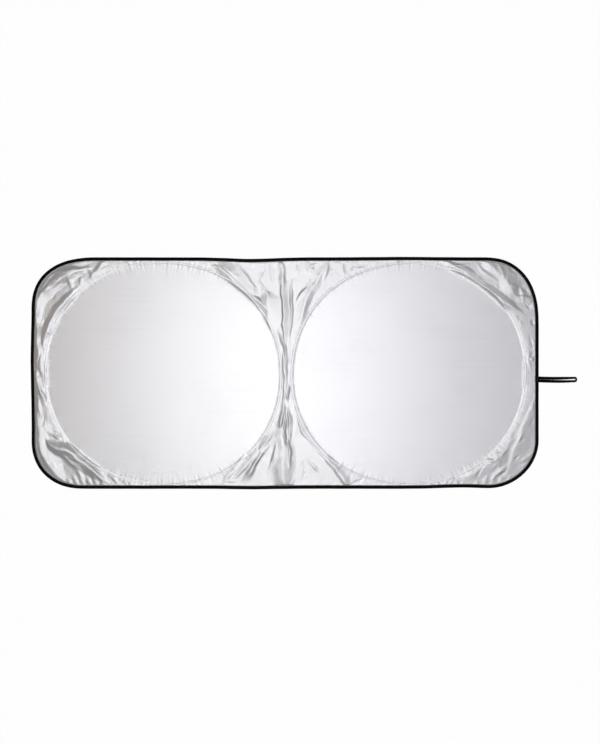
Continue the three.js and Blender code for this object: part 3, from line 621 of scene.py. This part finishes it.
def weldPatches(patches, centreHeight):
    # one set of points and faces for all patches, every face turned upward, and a fan in each disc
    vertices, faces, count = [], [], 0
    for grid, closed in patches:
        rows, columns = grid.shape[:2]
        vertices.append(grid.reshape(-1, 3))
        faces.append(gridFaces(rows, columns, False, closed) + count)
        count += rows * columns
    vertices, faces = np.concatenate(vertices), np.concatenate(faces)
    weldWithin = 1e-6
    key = np.round(vertices[:, :2] / weldWithin).astype(np.int64)
    _, first, index = np.unique(key, axis=0, return_index=True, return_inverse=True)
    index = index.ravel()
    rings = [index[sum(grid.shape[0] * grid.shape[1] for grid, _ in patches[:i]):][:patches[i][0].shape[1]]
             for i in range(len(hoops))]
    vertices, faces = vertices[first], index[faces]
    corner = vertices[faces][:, :, :2]
    one, two = corner[:, 2] - corner[:, 0], corner[:, 3] - corner[:, 1]
    faces = np.where((one[:, 0] * two[:, 1] > one[:, 1] * two[:, 0])[:, None], faces, faces[:, ::-1]).tolist()
    for hoop, ring in zip(hoops.values(), rings):
        inner = [ring]
        for share in discRings:
            flat = hoop["centre"] + (vertices[ring, :2] - hoop["centre"]) * share
            inner.append(np.arange(len(ring)) + len(vertices))
            vertices = np.concatenate((vertices, np.column_stack((flat, np.full(len(ring), centreHeight)))))
        for outer, nearer in zip(inner[:-1], inner[1:]):
            faces += np.stack((outer, np.roll(outer, -1), np.roll(nearer, -1), nearer), axis=1).tolist()
        vertices = np.concatenate((vertices, (np.append(hoop["centre"], centreHeight),)))
        faces += [(len(vertices) - 1, a, b) for a, b in zip(inner[-1], np.roll(inner[-1], -1))]
    return vertices, faces


def frontPanel():
    vertices, faces = weldPatches(clothPatches(faceLines, clothHeight), clothTop)
    piece = newObject("silver_cloth", vertices, faces)
    # share of slack cloth at each point: the silver material crumples the cloth there and darkens its colour
    # as painted shade
    slack = smooth(slackCloth["shadeAndCrumpleFrom"], slackCloth["shadeAndCrumpleTo"], nearestHoop(vertices[:, :2])[0])
    attribute = piece.data.attributes.new("slack", "FLOAT", "POINT")
    attribute.data.foreach_set("value", slack.astype(np.float32))
    print("silver face of the cloth:", len(faces), "faces")
    return piece


def backOfPanel():
    # the same cloth seen from below: its lowest height near each point, less its thickness, on a coarser mesh
    reach = 2.5 * mm

    def backHeight(points):
        steps = np.array(((0, 0), (1, 0), (-1, 0), (0, 1), (0, -1))) * reach
        return np.min([clothHeight(points + step) for step in steps], axis=0)

    vertices, faces = weldPatches(clothPatches(backLines, backHeight), clothTop)
    vertices[:, 2] -= shade["clothWall"]
    piece = newObject("cloth_back", vertices, [face[::-1] for face in faces])
    print("back of the cloth:", len(faces), "faces")
    return piece


def hoopSweep(name, hoop, sectionAt, count=360):
    # a section [outwards, up] carried round a hoop
    angles = roundTurns(count)
    out, up = sectionAt(angles)
    stations = np.stack([np.column_stack((hoopPoint(hoop, angles, out[j]), np.broadcast_to(up[j], count)))
                         for j in range(len(out))], axis=1)
    return sweptSurface(name, stations)


def hoopWire(side):
    wire = {"radius": 0.8 * mm, "z": 1.5 * mm, "ferruleZ": 2.4 * mm, "sides": 10}
    turns = roundTurns(wire["sides"])

    def section(angles):
        z = wire["z"] + (wire["ferruleZ"] - wire["z"]) * ferruleShare(hoops[side], angles)
        return wire["radius"] * np.cos(turns), [z + wire["radius"] * math.sin(turn) for turn in turns]

    return hoopSweep(side + "_wire", hoops[side], section)


def casingTape(side):
    # flat tape with rounded selvedges
    half, thick, chamfer = 5.2 * mm, shade["tapeThickness"], (0.3 * mm, 0.12 * mm)
    shoulder, low, high = half - chamfer[0], chamfer[1], thick - 0.1 * mm
    out = np.array((-half, -shoulder, shoulder, half, half, shoulder, -shoulder, -half))
    up = np.array((low, 0, 0, low, high, thick, thick, high))
    return hoopSweep(side + "_tape", hoops[side], lambda angles: (out, up))


def ferrule(side):
    # tube turned about the wire's direction: outer skin with crimp rings, and a bore
    crimp = {"length": 28 * mm, "radius": 1.7 * mm, "bore": 1.1 * mm, "z": 2.4 * mm, "sides": 24,
             "dent": 0.22 * mm, "dentWidth": 1.6 * mm, "dents": (-9, -4.5, 4.5, 9), "chamfer": 0.25 * mm,
             "chamferFrom": 0.47, "inwards": 0.25 * mm, "rings": 29}
    hoop = hoops[side]
    along = np.linspace(-0.5, 0.5, crimp["rings"]) * crimp["length"]
    dent = sum(crimp["dent"] * np.exp(-((along - at * mm) / crimp["dentWidth"]) ** 2)
               for at in crimp["dents"])
    chamfer = crimp["chamfer"] * smooth(crimp["chamferFrom"], 0.5, np.abs(along) / crimp["length"])
    outer = crimp["radius"] - dent - chamfer
    bore = ((crimp["bore"], along[-1]), (crimp["bore"], along[0]))
    profile = np.concatenate((np.stack((outer, along), 1), bore))
    turn = roundTurns(crimp["sides"])
    centre = hoopPoint(hoop, hoop["ferrule"]) - np.array((crimp["inwards"] * math.cos(hoop["ferrule"]), 0))
    stations = np.stack((centre[0] + profile[None, :, 0] * np.cos(turn)[:, None],
                         centre[1] + np.broadcast_to(profile[None, :, 1], (len(turn), len(profile))),
                         crimp["z"] + profile[None, :, 0] * np.sin(turn)[:, None]), axis=-1)
    return sweptSurface(side + "_ferrule", stations)


def edgeFrame(count=900):
    # evenly spaced points of the outer edge, smoothed corners included, with their inward normals
    closed, length = measured(outerLoop)
    place = np.linspace(0, length[-1], count, endpoint=False)
    loop = pointsAlong(closed, length, place)
    for _ in range(6):
        loop = 0.5 * loop + 0.25 * (np.roll(loop, 1, axis=0) + np.roll(loop, -1, axis=0))
    return place, loop, inwardNormals(loop)


bindingTape = {
    "waves": ((0.16, 13.1, 0), (0.13, 22.2, 1.1), (0.2, 61, 0)),      # of the edges: rise, length, phase
    "puckers": ((0.05, 2.1, 0), (0.06, 4.3, 0.7)),                    # of the upper face
    "seam": 6 * mm,                                                   # row of stitches, from the outer fold
}


def edgeBinding():
    # folded tape: round outer fold, two leaves with a slot between; small waves where stitches pull it
    place, loop, normal = edgeFrame()
    width, thick, top = shade["bindingWidth"], shade["tapeThickness"], bindingTop
    low, high = thick, top - thick
    profile = np.array((
        (0.9 * mm, 0), (width, 0), (width + 0.1 * mm, thick / 2), (width, thick),
        (1.6 * mm, low), (0.9 * mm, (low + high) / 2), (1.6 * mm, high),
        (width, high), (width + 0.1 * mm, high + thick / 2), (width, top),
        (6.6 * mm, top), (6.0 * mm, top - 0.06 * mm), (5.4 * mm, top), (3.2 * mm, top + 0.08 * mm),
        (1.4 * mm, top), (0.45 * mm, top - 0.35 * mm), (0.1 * mm, 0.95 * mm), (0.35 * mm, 0.35 * mm)))
    wobble, pucker = (sineSum(place, bindingTape[name]) * mm for name in ("waves", "puckers"))
    stations = []
    for inwards, up in profile:
        side = inwards + wobble * (inwards > 0.5 * width) + 0.5 * wobble * (inwards < 0.2 * width)
        z = up + pucker * (up > 0.8 * top) * (inwards < 7 * mm)
        flat = loop + normal * side[:, None]
        stations.append(np.column_stack((flat, np.broadcast_to(z, len(flat)))))
    return sweptSurface("binding_tape", np.stack(stations, axis=1))


def threads(name, rings):
    # rings[i, j] is round j of the skin of thread i; every thread gets a flat cap on each end
    count, along, sides = rings.shape[:3]
    quads = gridFaces(along, sides, False, True)[:, ::-1]
    caps = np.stack((np.arange(sides), np.arange(along * sides)[:-sides - 1:-1]))
    first = (np.arange(count) * along * sides)[:, None, None]
    faces = (quads + first).reshape(-1, 4).tolist() + (caps + first).reshape(-1, sides).tolist()
    return newObject(name, rings.reshape(-1, 3), faces)


stitch = {"places": (-0.44, -0.25, 0.25, 0.44), "girth": (0.45, 1, 1, 0.45), "sink": (0.55, 0.05, 0.05, 0.55),
          "sides": 5}


def stitchRow(name, path, up, pitch=3.4 * mm, thickness=0.5 * mm):
    # one short thread for each stitch along a closed path: a round section that thins and dips at its ends
    closed, length = measured(path)
    count = int(length[-1] / pitch)
    radius = thickness / 2 * np.array(stitch["girth"])
    sink = thickness * np.array(stitch["sink"])
    place = (np.arange(count)[:, None] + 0.5 + np.array(stitch["places"])) * length[-1] / count
    centre = pointsAlong(closed, length, place % length[-1])
    along = centre[:, -1] - centre[:, 0]
    along /= np.linalg.norm(along, axis=1)[:, None]
    side = np.stack((-along[:, 1], along[:, 0]), axis=-1)
    turn = roundTurns(stitch["sides"]) + math.pi / 2
    flat = centre[:, :, None] + side[:, None, None] * (radius[:, None] * np.cos(turn))[None, :, :, None]
    level = np.interp(place % length[-1], length, np.append(up, up[0]))[:, :, None]
    z = level + thickness / 2 - sink[None, :, None] + (radius[:, None] * np.sin(turn))[None]
    return threads(name, np.concatenate((flat, z[..., None]), axis=-1))


def casingStitches(side, row):
    path = hoopPoint(hoops[side], faceLines["turns"], row * shade["seam"])
    word = "outer" if row > 0 else "inner"
    sunk = 0.16 * mm
    return stitchRow(f"{side}_{word}_stitches", path, clothHeight(path) - sunk)


def bindingStitches():
    _, loop, normal = edgeFrame(600)
    path, sunk = loop + bindingTape["seam"] * normal, 0.1 * mm
    return stitchRow("binding_stitches", path, np.full(len(path), bindingTop - sunk), 3.6 * mm, 0.45 * mm)


loopBand = {
    "low": 0.0174,             # below the hoops' middle
    "reach": 0.114,            # beyond the shade's right edge
    "width": 0.0088,
    "thick": 0.001,
    "tailGap": 0.0001,
    "spread": 0.0009,          # of the strands further out, on top of the tails' gap
    "spreadFrom": 0.028,
    "spreadTo": 0.085,
    "overlap": 0.0125,         # of the tails on the binding
    "endRadius": 0.0034,
    "lean": (math.radians(6), math.radians(43)),      # of the strands, and of the end
    "leanFrom": 0.040,
    "drop": (0.001, 0.026),    # way out between which the band comes down to the floor
    "sag": 0.0012,
    "tailZ": 0.0029,
    "ribs": 7,
    "ribRise": 0.07 * mm,
    "selvedge": 0.25 * mm,
}


def bandRoute():
    # centre line of the elastic and its heading: out along one strand, round the end, back along the other
    band = loopBand
    halfAcross = (band["width"] * math.cos(band["lean"][1]) + band["thick"] * math.sin(band["lean"][1])) / 2
    straightEnd = rightEdge + band["reach"] - band["endRadius"] - halfAcross
    x = np.linspace(rightEdge - band["overlap"], straightEnd, 90)
    spread = band["spread"] * smooth(band["spreadFrom"], band["spreadTo"], x - rightEdge)
    half = (band["width"] + band["tailGap"] + spread) / 2
    endHalf = (band["width"] + band["tailGap"] + band["spread"]) / 2
    turn = np.linspace(0, math.pi / 2, 10)[1:]
    bendX = straightEnd + band["endRadius"] * np.sin(turn)
    bendY = endHalf - band["endRadius"] + band["endRadius"] * np.cos(turn)
    x, y = np.concatenate((x, bendX)), np.concatenate((half, bendY))
    x, y = np.concatenate((x, x[::-1])), np.concatenate((y, -y[::-1]))
    heading = np.arctan2(np.gradient(y), np.gradient(x))
    return x, y, heading


def elasticLoop():
    # a flat rounded section: level on the tails, standing on its outer edge further out
    band = loopBand
    x, y, heading = bandRoute()
    past = x - rightEdge
    strandLean, endLean = band["lean"]
    lean = strandLean * smooth(0, band["leanFrom"], past)
    lean += (endLean - strandLean) * smooth(band["leanFrom"], band["reach"], past)
    y = y - band["sag"] * np.sin(math.pi * np.clip(past / band["reach"], 0, 1))
    floorZ = (band["width"] * np.sin(lean) + band["thick"] * np.cos(lean)) / 2
    onTail = band["tailZ"] + band["thick"] / 2
    level = onTail + (floorZ - onTail) * smooth(*band["drop"], past)
    halfWide, halfThick = band["width"] / 2, band["thick"] / 2
    ribs = np.linspace(-1, 1, 2 * band["ribs"] + 1)
    ridge = band["ribRise"] * np.cos(ribs * band["ribs"] * math.pi)
    wide, rise = ribs * (halfWide - band["selvedge"]), halfThick - band["ribRise"]
    section = np.concatenate((np.stack((wide, -rise - ridge), 1), ((halfWide, 0),),
                              np.stack((wide[::-1], rise + ridge[::-1]), 1), ((-halfWide, 0),)))
    outward = np.stack((-np.sin(heading), np.cos(heading)), axis=-1)
    wide, thick = section[:, 0][None], section[:, 1][None]
    across = wide * np.cos(lean)[:, None] + thick * np.sin(lean)[:, None]
    up = thick * np.cos(lean)[:, None] - wide * np.sin(lean)[:, None]
    stations = np.stack((x[:, None] + outward[:, :1] * across,
                         y[:, None] + hoopY - band["low"] + outward[:, 1:] * across,
                         level[:, None] + up), axis=-1)
    return sweptSurface("elastic_band", stations, closed=False)


def barTack():
    # close-set satin stitches to and fro across both tails, each a thread that arches in the middle
    tack = {"stitches": 43, "half": 1.4 * mm, "beyond": 0.2 * mm, "over": 0.02 * mm, "arch": 0.28 * mm,
            "shoulder": 0.2, "thread": 0.2 * mm, "sides": 6}
    band = loopBand
    count = tack["stitches"] + 1
    half = band["width"] + band["tailGap"] / 2 + tack["beyond"]
    y = np.linspace(-half, half, count) + hoopY - band["low"]
    x = rightEdge - shade["bindingWidth"] / 2 + np.where(np.arange(count) % 2, 1, -1) * tack["half"]
    line = np.column_stack((x, y, np.full(count, band["tailZ"] + band["thick"] + tack["over"])))
    start, end, arch = line[:-1], line[1:], np.array((0, 0, tack["arch"]))
    raised = [start + (end - start) * share + arch for share in (tack["shoulder"], 1 - tack["shoulder"])]
    points = np.stack((start, *raised, end), 1)
    side = np.cross(end - start, (0, 0, 1))
    side /= np.linalg.norm(side, axis=1)[:, None]
    turn = roundTurns(tack["sides"])
    ring = (side[:, None, None] * np.cos(turn)[None, None, :, None]
            + np.array((0, 0, 1)) * np.sin(turn)[None, None, :, None]) * tack["thread"]
    return threads("bar_tack_thread", points[:, :, None] + ring)


def newMaterial(name, colour, roughness, metallic=0.0):
    material = bpy.data.materials.new(name)
    material.use_nodes = True
    shader = material.node_tree.nodes["Principled BSDF"]
    shader.inputs["Base Color"].default_value = (*colour, 1)
    shader.inputs["Roughness"].default_value = roughness
    shader.inputs["Metallic"].default_value = metallic
    return material, material.node_tree.nodes, material.node_tree.links, shader


def addNode(nodes, kind, **values):
    node = nodes.new("ShaderNode" + kind)
    for key, value in values.items():
        if key in node.bl_rna.properties:
            setattr(node, key, value)
        else:
            node.inputs[key].default_value = value
    return node


def connect(links, *joins):
    # each join is a node, its output, another node and its input
    for source, output, target, socket in joins:
        links.new(source.outputs[output], target.inputs[socket])


def threadWaves(nodes, direction, scale, distortion):
    return addNode(nodes, "TexWave", bands_direction=direction, Scale=scale, Distortion=distortion)


def tint(nodes, first, second, blend="MIX"):
    # colour node whose inputs 6 and 7 are its two colours, and whose input 0 is the share of the second
    node = addNode(nodes, "Mix", data_type="RGBA", blend_type=blend)
    node.inputs[6].default_value, node.inputs[7].default_value = (*first, 1), (*second, 1)
    return node


def addBump(nodes, links, shader, node, output, strength, distance):
    # laid over the bumps that the shader already has
    bump = addNode(nodes, "Bump", Strength=strength, Distance=distance)
    before = [link.from_socket for link in shader.inputs["Normal"].links]
    for socket in before:
        links.new(socket, bump.inputs["Normal"])
    connect(links, (node, output, bump, "Height"), (bump, "Normal", shader, "Normal"))


def silverMaterial():
    # aluminium-coated taffeta: fine threads both ways, faint lengthwise streaks, satin gloss; where the cloth
    # is slack it is crumpled, and its colour is darkened there as painted shade
    material, nodes, links, shader = newMaterial("silver_coated_cloth", (0.80, 0.80, 0.81), 0.40, 0.82)
    place = addNode(nodes, "TexCoord")
    slack = addNode(nodes, "Attribute", attribute_name="slack")
    streakMap = addNode(nodes, "Mapping", Scale=(3.0, 420.0, 1.0))
    streaks = addNode(nodes, "TexNoise", Scale=1.0, Detail=4.0, Roughness=0.6)
    cloud = addNode(nodes, "TexNoise", Scale=5.0, Detail=3.0, Roughness=0.5)
    blend = addNode(nodes, "Math", operation="ADD")
    ramp = addNode(nodes, "ValToRGB")
    darker, lighter = ramp.color_ramp.elements
    darker.position, darker.color = 0.7, (0.785, 0.785, 0.79, 1)
    lighter.position, lighter.color = 1.0, (0.825, 0.825, 0.83, 1)
    # painted shade: the colour is made up to 7.5 % darker where the cloth is slack
    paintedShade = tint(nodes, (1, 1, 1), (0.925, 0.925, 0.92), "MULTIPLY")
    rough = addNode(nodes, "MapRange", **{"To Min": 0.365, "To Max": 0.41})
    connect(links, (place, "Object", streakMap, "Vector"), (streakMap, "Vector", streaks, "Vector"),
            (place, "Object", cloud, "Vector"), (streaks, "Fac", blend, 0), (cloud, "Fac", blend, 1),
            (blend, "Value", ramp, "Fac"), (slack, "Fac", paintedShade, 0), (ramp, "Color", paintedShade, 6),
            (paintedShade, 2, shader, "Base Color"), (streaks, "Fac", rough, "Value"),
            (rough, "Result", shader, "Roughness"))

    # bumps, each laid over the one before: threads, sharp and soft crumples where slack, and slow waves
    weft, warp = threadWaves(nodes, "Y", 700.0, 0.6), threadWaves(nodes, "X", 700.0, 0.6)
    weave = addNode(nodes, "Math", operation="ADD")
    crease = addNode(nodes, "TexNoise", noise_type="RIDGED_MULTIFRACTAL", Scale=14.0, Detail=2.0)
    crumple = addNode(nodes, "TexNoise", Scale=46.0, Detail=3.0, Roughness=0.55)
    slackCrease, slackCrumple = (addNode(nodes, "Math", operation="MULTIPLY") for _ in range(2))
    waveMap = addNode(nodes, "Mapping", Rotation=(0, 0, 0.8), Scale=(3.0, 13.0, 1.0))
    waves = addNode(nodes, "TexNoise", Scale=1.0, Detail=1.5, Roughness=0.5)
    connect(links, (place, "Object", weft, "Vector"), (place, "Object", warp, "Vector"),
            (weft, "Fac", weave, 0), (warp, "Fac", weave, 1),
            (place, "Object", crease, "Vector"), (place, "Object", crumple, "Vector"),
            (crease, "Fac", slackCrease, 0), (slack, "Fac", slackCrease, 1),
            (crumple, "Fac", slackCrumple, 0), (slack, "Fac", slackCrumple, 1),
            (place, "Object", waveMap, "Vector"), (waveMap, "Vector", waves, "Vector"))
    for layer in ((weave, "Value", 0.35, 0.06 * mm), (slackCrease, "Value", 0.35, 1.6 * mm),
                  (slackCrumple, "Value", 0.5, 1.6 * mm), (waves, "Fac", 0.35, 2.8 * mm)):
        addBump(nodes, links, shader, *layer)
    return material


def wovenMaterial(name, dark, light, roughness, ribs, depth):
    # tape or elastic: ribs along and across the piece's own length, read from its UV map in metres
    material, nodes, links, shader = newMaterial(name, light, roughness)
    shader.inputs["Specular IOR Level"].default_value = 0.12
    place = addNode(nodes, "UVMap", uv_map="weave")
    along, across = threadWaves(nodes, "X", ribs, 0.8), threadWaves(nodes, "Y", ribs * 1.3, 0.8)
    fuzz = addNode(nodes, "TexNoise", Scale=900.0, Detail=2.0)
    both = addNode(nodes, "Math", operation="ADD")
    total = addNode(nodes, "Math", operation="MULTIPLY_ADD")
    total.inputs[1].default_value = 0.4      # share of the fuzz
    colour = tint(nodes, dark, light)
    connect(links, *((place, "UV", pattern, "Vector") for pattern in (along, across, fuzz)))
    connect(links, (along, "Fac", both, 0), (across, "Fac", both, 1), (fuzz, "Fac", total, 0),
            (both, "Value", total, 2), (along, "Fac", colour, 0), (colour, 2, shader, "Base Color"))
    addBump(nodes, links, shader, total, "Value", 0.6, depth)
    return material


def undersideMaterial():
    # uncoated back of the cloth: plain pale grey with the same fine threads
    material, nodes, links, shader = newMaterial("cloth_underside", (0.52, 0.52, 0.53), 0.75)
    place = addNode(nodes, "TexCoord")
    weft = threadWaves(nodes, "Y", 700.0, 0.6)
    fleck = addNode(nodes, "TexNoise", Scale=160.0, Detail=3.0)
    colour = tint(nodes, (0.48, 0.48, 0.49), (0.56, 0.56, 0.57))
    connect(links, (place, "Object", weft, "Vector"), (place, "Object", fleck, "Vector"),
            (fleck, "Fac", colour, 0), (colour, 2, shader, "Base Color"))
    addBump(nodes, links, shader, weft, "Fac", 0.4, 0.08 * mm)
    return material


def threadMaterial(name, dark, light):
    # twisted thread: slanting plies read from the object's own place
    material, nodes, links, shader = newMaterial(name, light, 0.55)
    shader.inputs["Sheen Weight"].default_value = 0.2
    place = addNode(nodes, "TexCoord")
    plies = threadWaves(nodes, "DIAGONAL", 900.0, 1.0)
    colour = tint(nodes, dark, light)
    connect(links, (place, "Object", plies, "Vector"), (plies, "Fac", colour, 0),
            (colour, 2, shader, "Base Color"))
    addBump(nodes, links, shader, plies, "Fac", 0.5, 0.06 * mm)
    return material


def metalMaterial(name, colour, roughness, scale):
    # drawn or plated steel with fine scratches
    material, nodes, links, shader = newMaterial(name, colour, roughness, 1.0)
    place = addNode(nodes, "TexCoord")
    scratch = addNode(nodes, "TexNoise", Scale=scale, Detail=5.0)
    rough = addNode(nodes, "MapRange", **{"To Min": roughness - 0.08, "To Max": roughness + 0.12})
    connect(links, (place, "Object", scratch, "Vector"), (scratch, "Fac", rough, "Value"),
            (rough, "Result", shader, "Roughness"))
    addBump(nodes, links, shader, scratch, "Fac", 0.2, 0.04 * mm)
    return material


def dress(piece, material, slot, *nodes):
    piece.data.materials.append(material)
    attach(piece, "root")
    if nodes:
        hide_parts(*nodes)
    return piece


blackTape = wovenMaterial("black_binding_tape", (0.0010, 0.0010, 0.0012), (0.0035, 0.0035, 0.004), 0.9,
                          260.0, 0.2 * mm)
blackElastic = wovenMaterial("black_elastic", (0.0015, 0.0015, 0.002), (0.006, 0.006, 0.007), 0.85,
                             330.0, 0.2 * mm)
greyTape = wovenMaterial("grey_casing_tape", (0.46, 0.46, 0.47), (0.56, 0.56, 0.57), 0.8, 300.0, 0.15 * mm)
greyThread = threadMaterial("grey_thread", (0.76, 0.76, 0.78), (0.88, 0.88, 0.90))
blackThread = threadMaterial("black_thread", (0.003, 0.003, 0.004), (0.010, 0.010, 0.012))
springSteel = metalMaterial("spring_steel", (0.45, 0.46, 0.48), 0.3, 900.0)
crimpSteel = metalMaterial("crimp_steel", (0.62, 0.62, 0.63), 0.35, 700.0)

cloth = dress(frontPanel(), silverMaterial(), "silver_cloth", "front_panel")
clothBack = dress(backOfPanel(), undersideMaterial(), "silver_cloth")
dress(edgeBinding(), blackTape, "black_tape", "edge_binding")
dress(bindingStitches(), blackThread, "black_thread", "binding_seam")
print("binding made")
for side in hoops:
    dress(hoopWire(side), springSteel, "spring_steel", side + "_hoop_wire")
    dress(ferrule(side), crimpSteel, "crimp_steel", side + "_hoop_ferrule")
    dress(casingTape(side), greyTape, "grey_tape", side + "_casing_tape")
    dress(casingStitches(side, -1), greyThread, "grey_thread", side + "_casing_inner_seam")
    dress(casingStitches(side, 1), greyThread, "grey_thread", side + "_casing_outer_seam")
print("hoops and casings made")
dress(elasticLoop(), blackElastic, "black_elastic", "elastic_loop")
dress(barTack(), blackThread, "black_thread", "loop_bar_tack")
print("loop made")

# Floor, lamps and camera.
view = {
    "height": 6.0,
    "pixel": 2.958 * mm,         # of the photograph, on the shade
    "pixelsAcross": 600,
    "right": 43.9 * mm,          # centre of the picture from the shade's middle
    "up": 3.25 * mm,
}
studio = {
    "world": 0.235,
    "floorHalf": 24.0,           # wide enough to fill low views
    "floorGlow": 0.98,           # share of plain white in the floor's look; the rest keeps shadows
    "floorLow": 0.4 * mm,
}
lamps = (
    # name, place, aim (both from the shade's middle), size, watts, colour
    ("waist_box", (-0.06, 0, 1.5), (-0.06, 0, 0), (0.5, 1.2), 4.2, (0.94, 0.965, 1.0)),
    ("left_box", (-0.45, 0, 3.0), (-0.45, 0, 0), (0.8, 3.6), 9.2, (1.0, 0.965, 0.96)),
    ("right_box", (0.85, 0, 3.0), (0.85, 0, 0), (1.7, 3.6), 11.4, (0.915, 0.90, 1.0)),
    ("left_fill", (-2.2, 0.3, 2.2), (-0.6, 0, 0), (0.8, 2.4), 1.4, (1.0, 0.50, 0.20)),
)
target = middle + np.array((view["right"], view["up"]))


def floorMaterial():
    # white to the camera and in gloss, with a trace of its own shading so that shadows stay
    material, nodes, links, shader = newMaterial("pale_floor", (0.86, 0.86, 0.86), 0.9)
    shader.inputs["Specular IOR Level"].default_value = 0.0
    glow = addNode(nodes, "Emission", Strength=1.0)
    ray = addNode(nodes, "LightPath")
    seen = addNode(nodes, "Math", operation="MAXIMUM")
    share = addNode(nodes, "Math", operation="MULTIPLY")
    share.inputs[1].default_value = studio["floorGlow"]
    mix = addNode(nodes, "MixShader")
    connect(links, (ray, "Is Camera Ray", seen, 0), (ray, "Is Glossy Ray", seen, 1),
            (seen, "Value", share, 0), (share, "Value", mix, "Fac"), (shader, "BSDF", mix, 1),
            (glow, "Emission", mix, 2), (mix, "Shader", nodes["Material Output"], "Surface"))
    return material


floorCorners = np.array(((-1, -1, 0), (1, -1, 0), (1, 1, 0), (-1, 1, 0)), float) * studio["floorHalf"]
floorCorners[:, 2] = -studio["floorLow"]
floor = newObject("floor", floorCorners, [(0, 1, 2, 3)], False)
floor.data.materials.append(floorMaterial())

scene = bpy.context.scene
world = bpy.data.worlds.new("studio")
world.use_nodes = True
world.node_tree.nodes["Background"].inputs["Color"].default_value = (1.0, 1.0, 1.0, 1)
world.node_tree.nodes["Background"].inputs["Strength"].default_value = studio["world"]
scene.world = world


def addLamp(name, place, aim, size, power, colour):
    # an area lamp whose width lies across its direction; one that points straight down isn't turned
    lamp = bpy.data.lights.new(name, "AREA")
    lamp.shape, lamp.size, lamp.size_y = "RECTANGLE", *size
    lamp.energy, lamp.color = power, colour
    holder = bpy.data.objects.new(name, lamp)
    holder.location = np.array(place) + np.append(middle, 0)
    direction = np.array(aim) - np.array(place)
    pitch = math.atan2(math.hypot(direction[0], direction[1]), -direction[2])
    turn = math.atan2(direction[1], direction[0]) - math.pi / 2 if pitch > 0.001 else 0
    holder.rotation_euler = (pitch, 0, turn)
    holder.visible_camera = False
    scene.collection.objects.link(holder)


# a small soft box over the waist, a long narrow one left of it, a long wide one on the right, a warm low fill
for lampFacts in lamps:
    addLamp(*lampFacts)

camera = bpy.data.cameras.new("camera")
camera.sensor_fit = "HORIZONTAL"
camera.lens = camera.sensor_width * view["height"] / (view["pixelsAcross"] * view["pixel"])
holder = bpy.data.objects.new("camera", camera)
holder.location = (float(target[0]), float(target[1]), view["height"])
scene.collection.objects.link(holder)
scene.camera = holder
scene.view_settings.view_transform = "Standard"

print("scene ready")
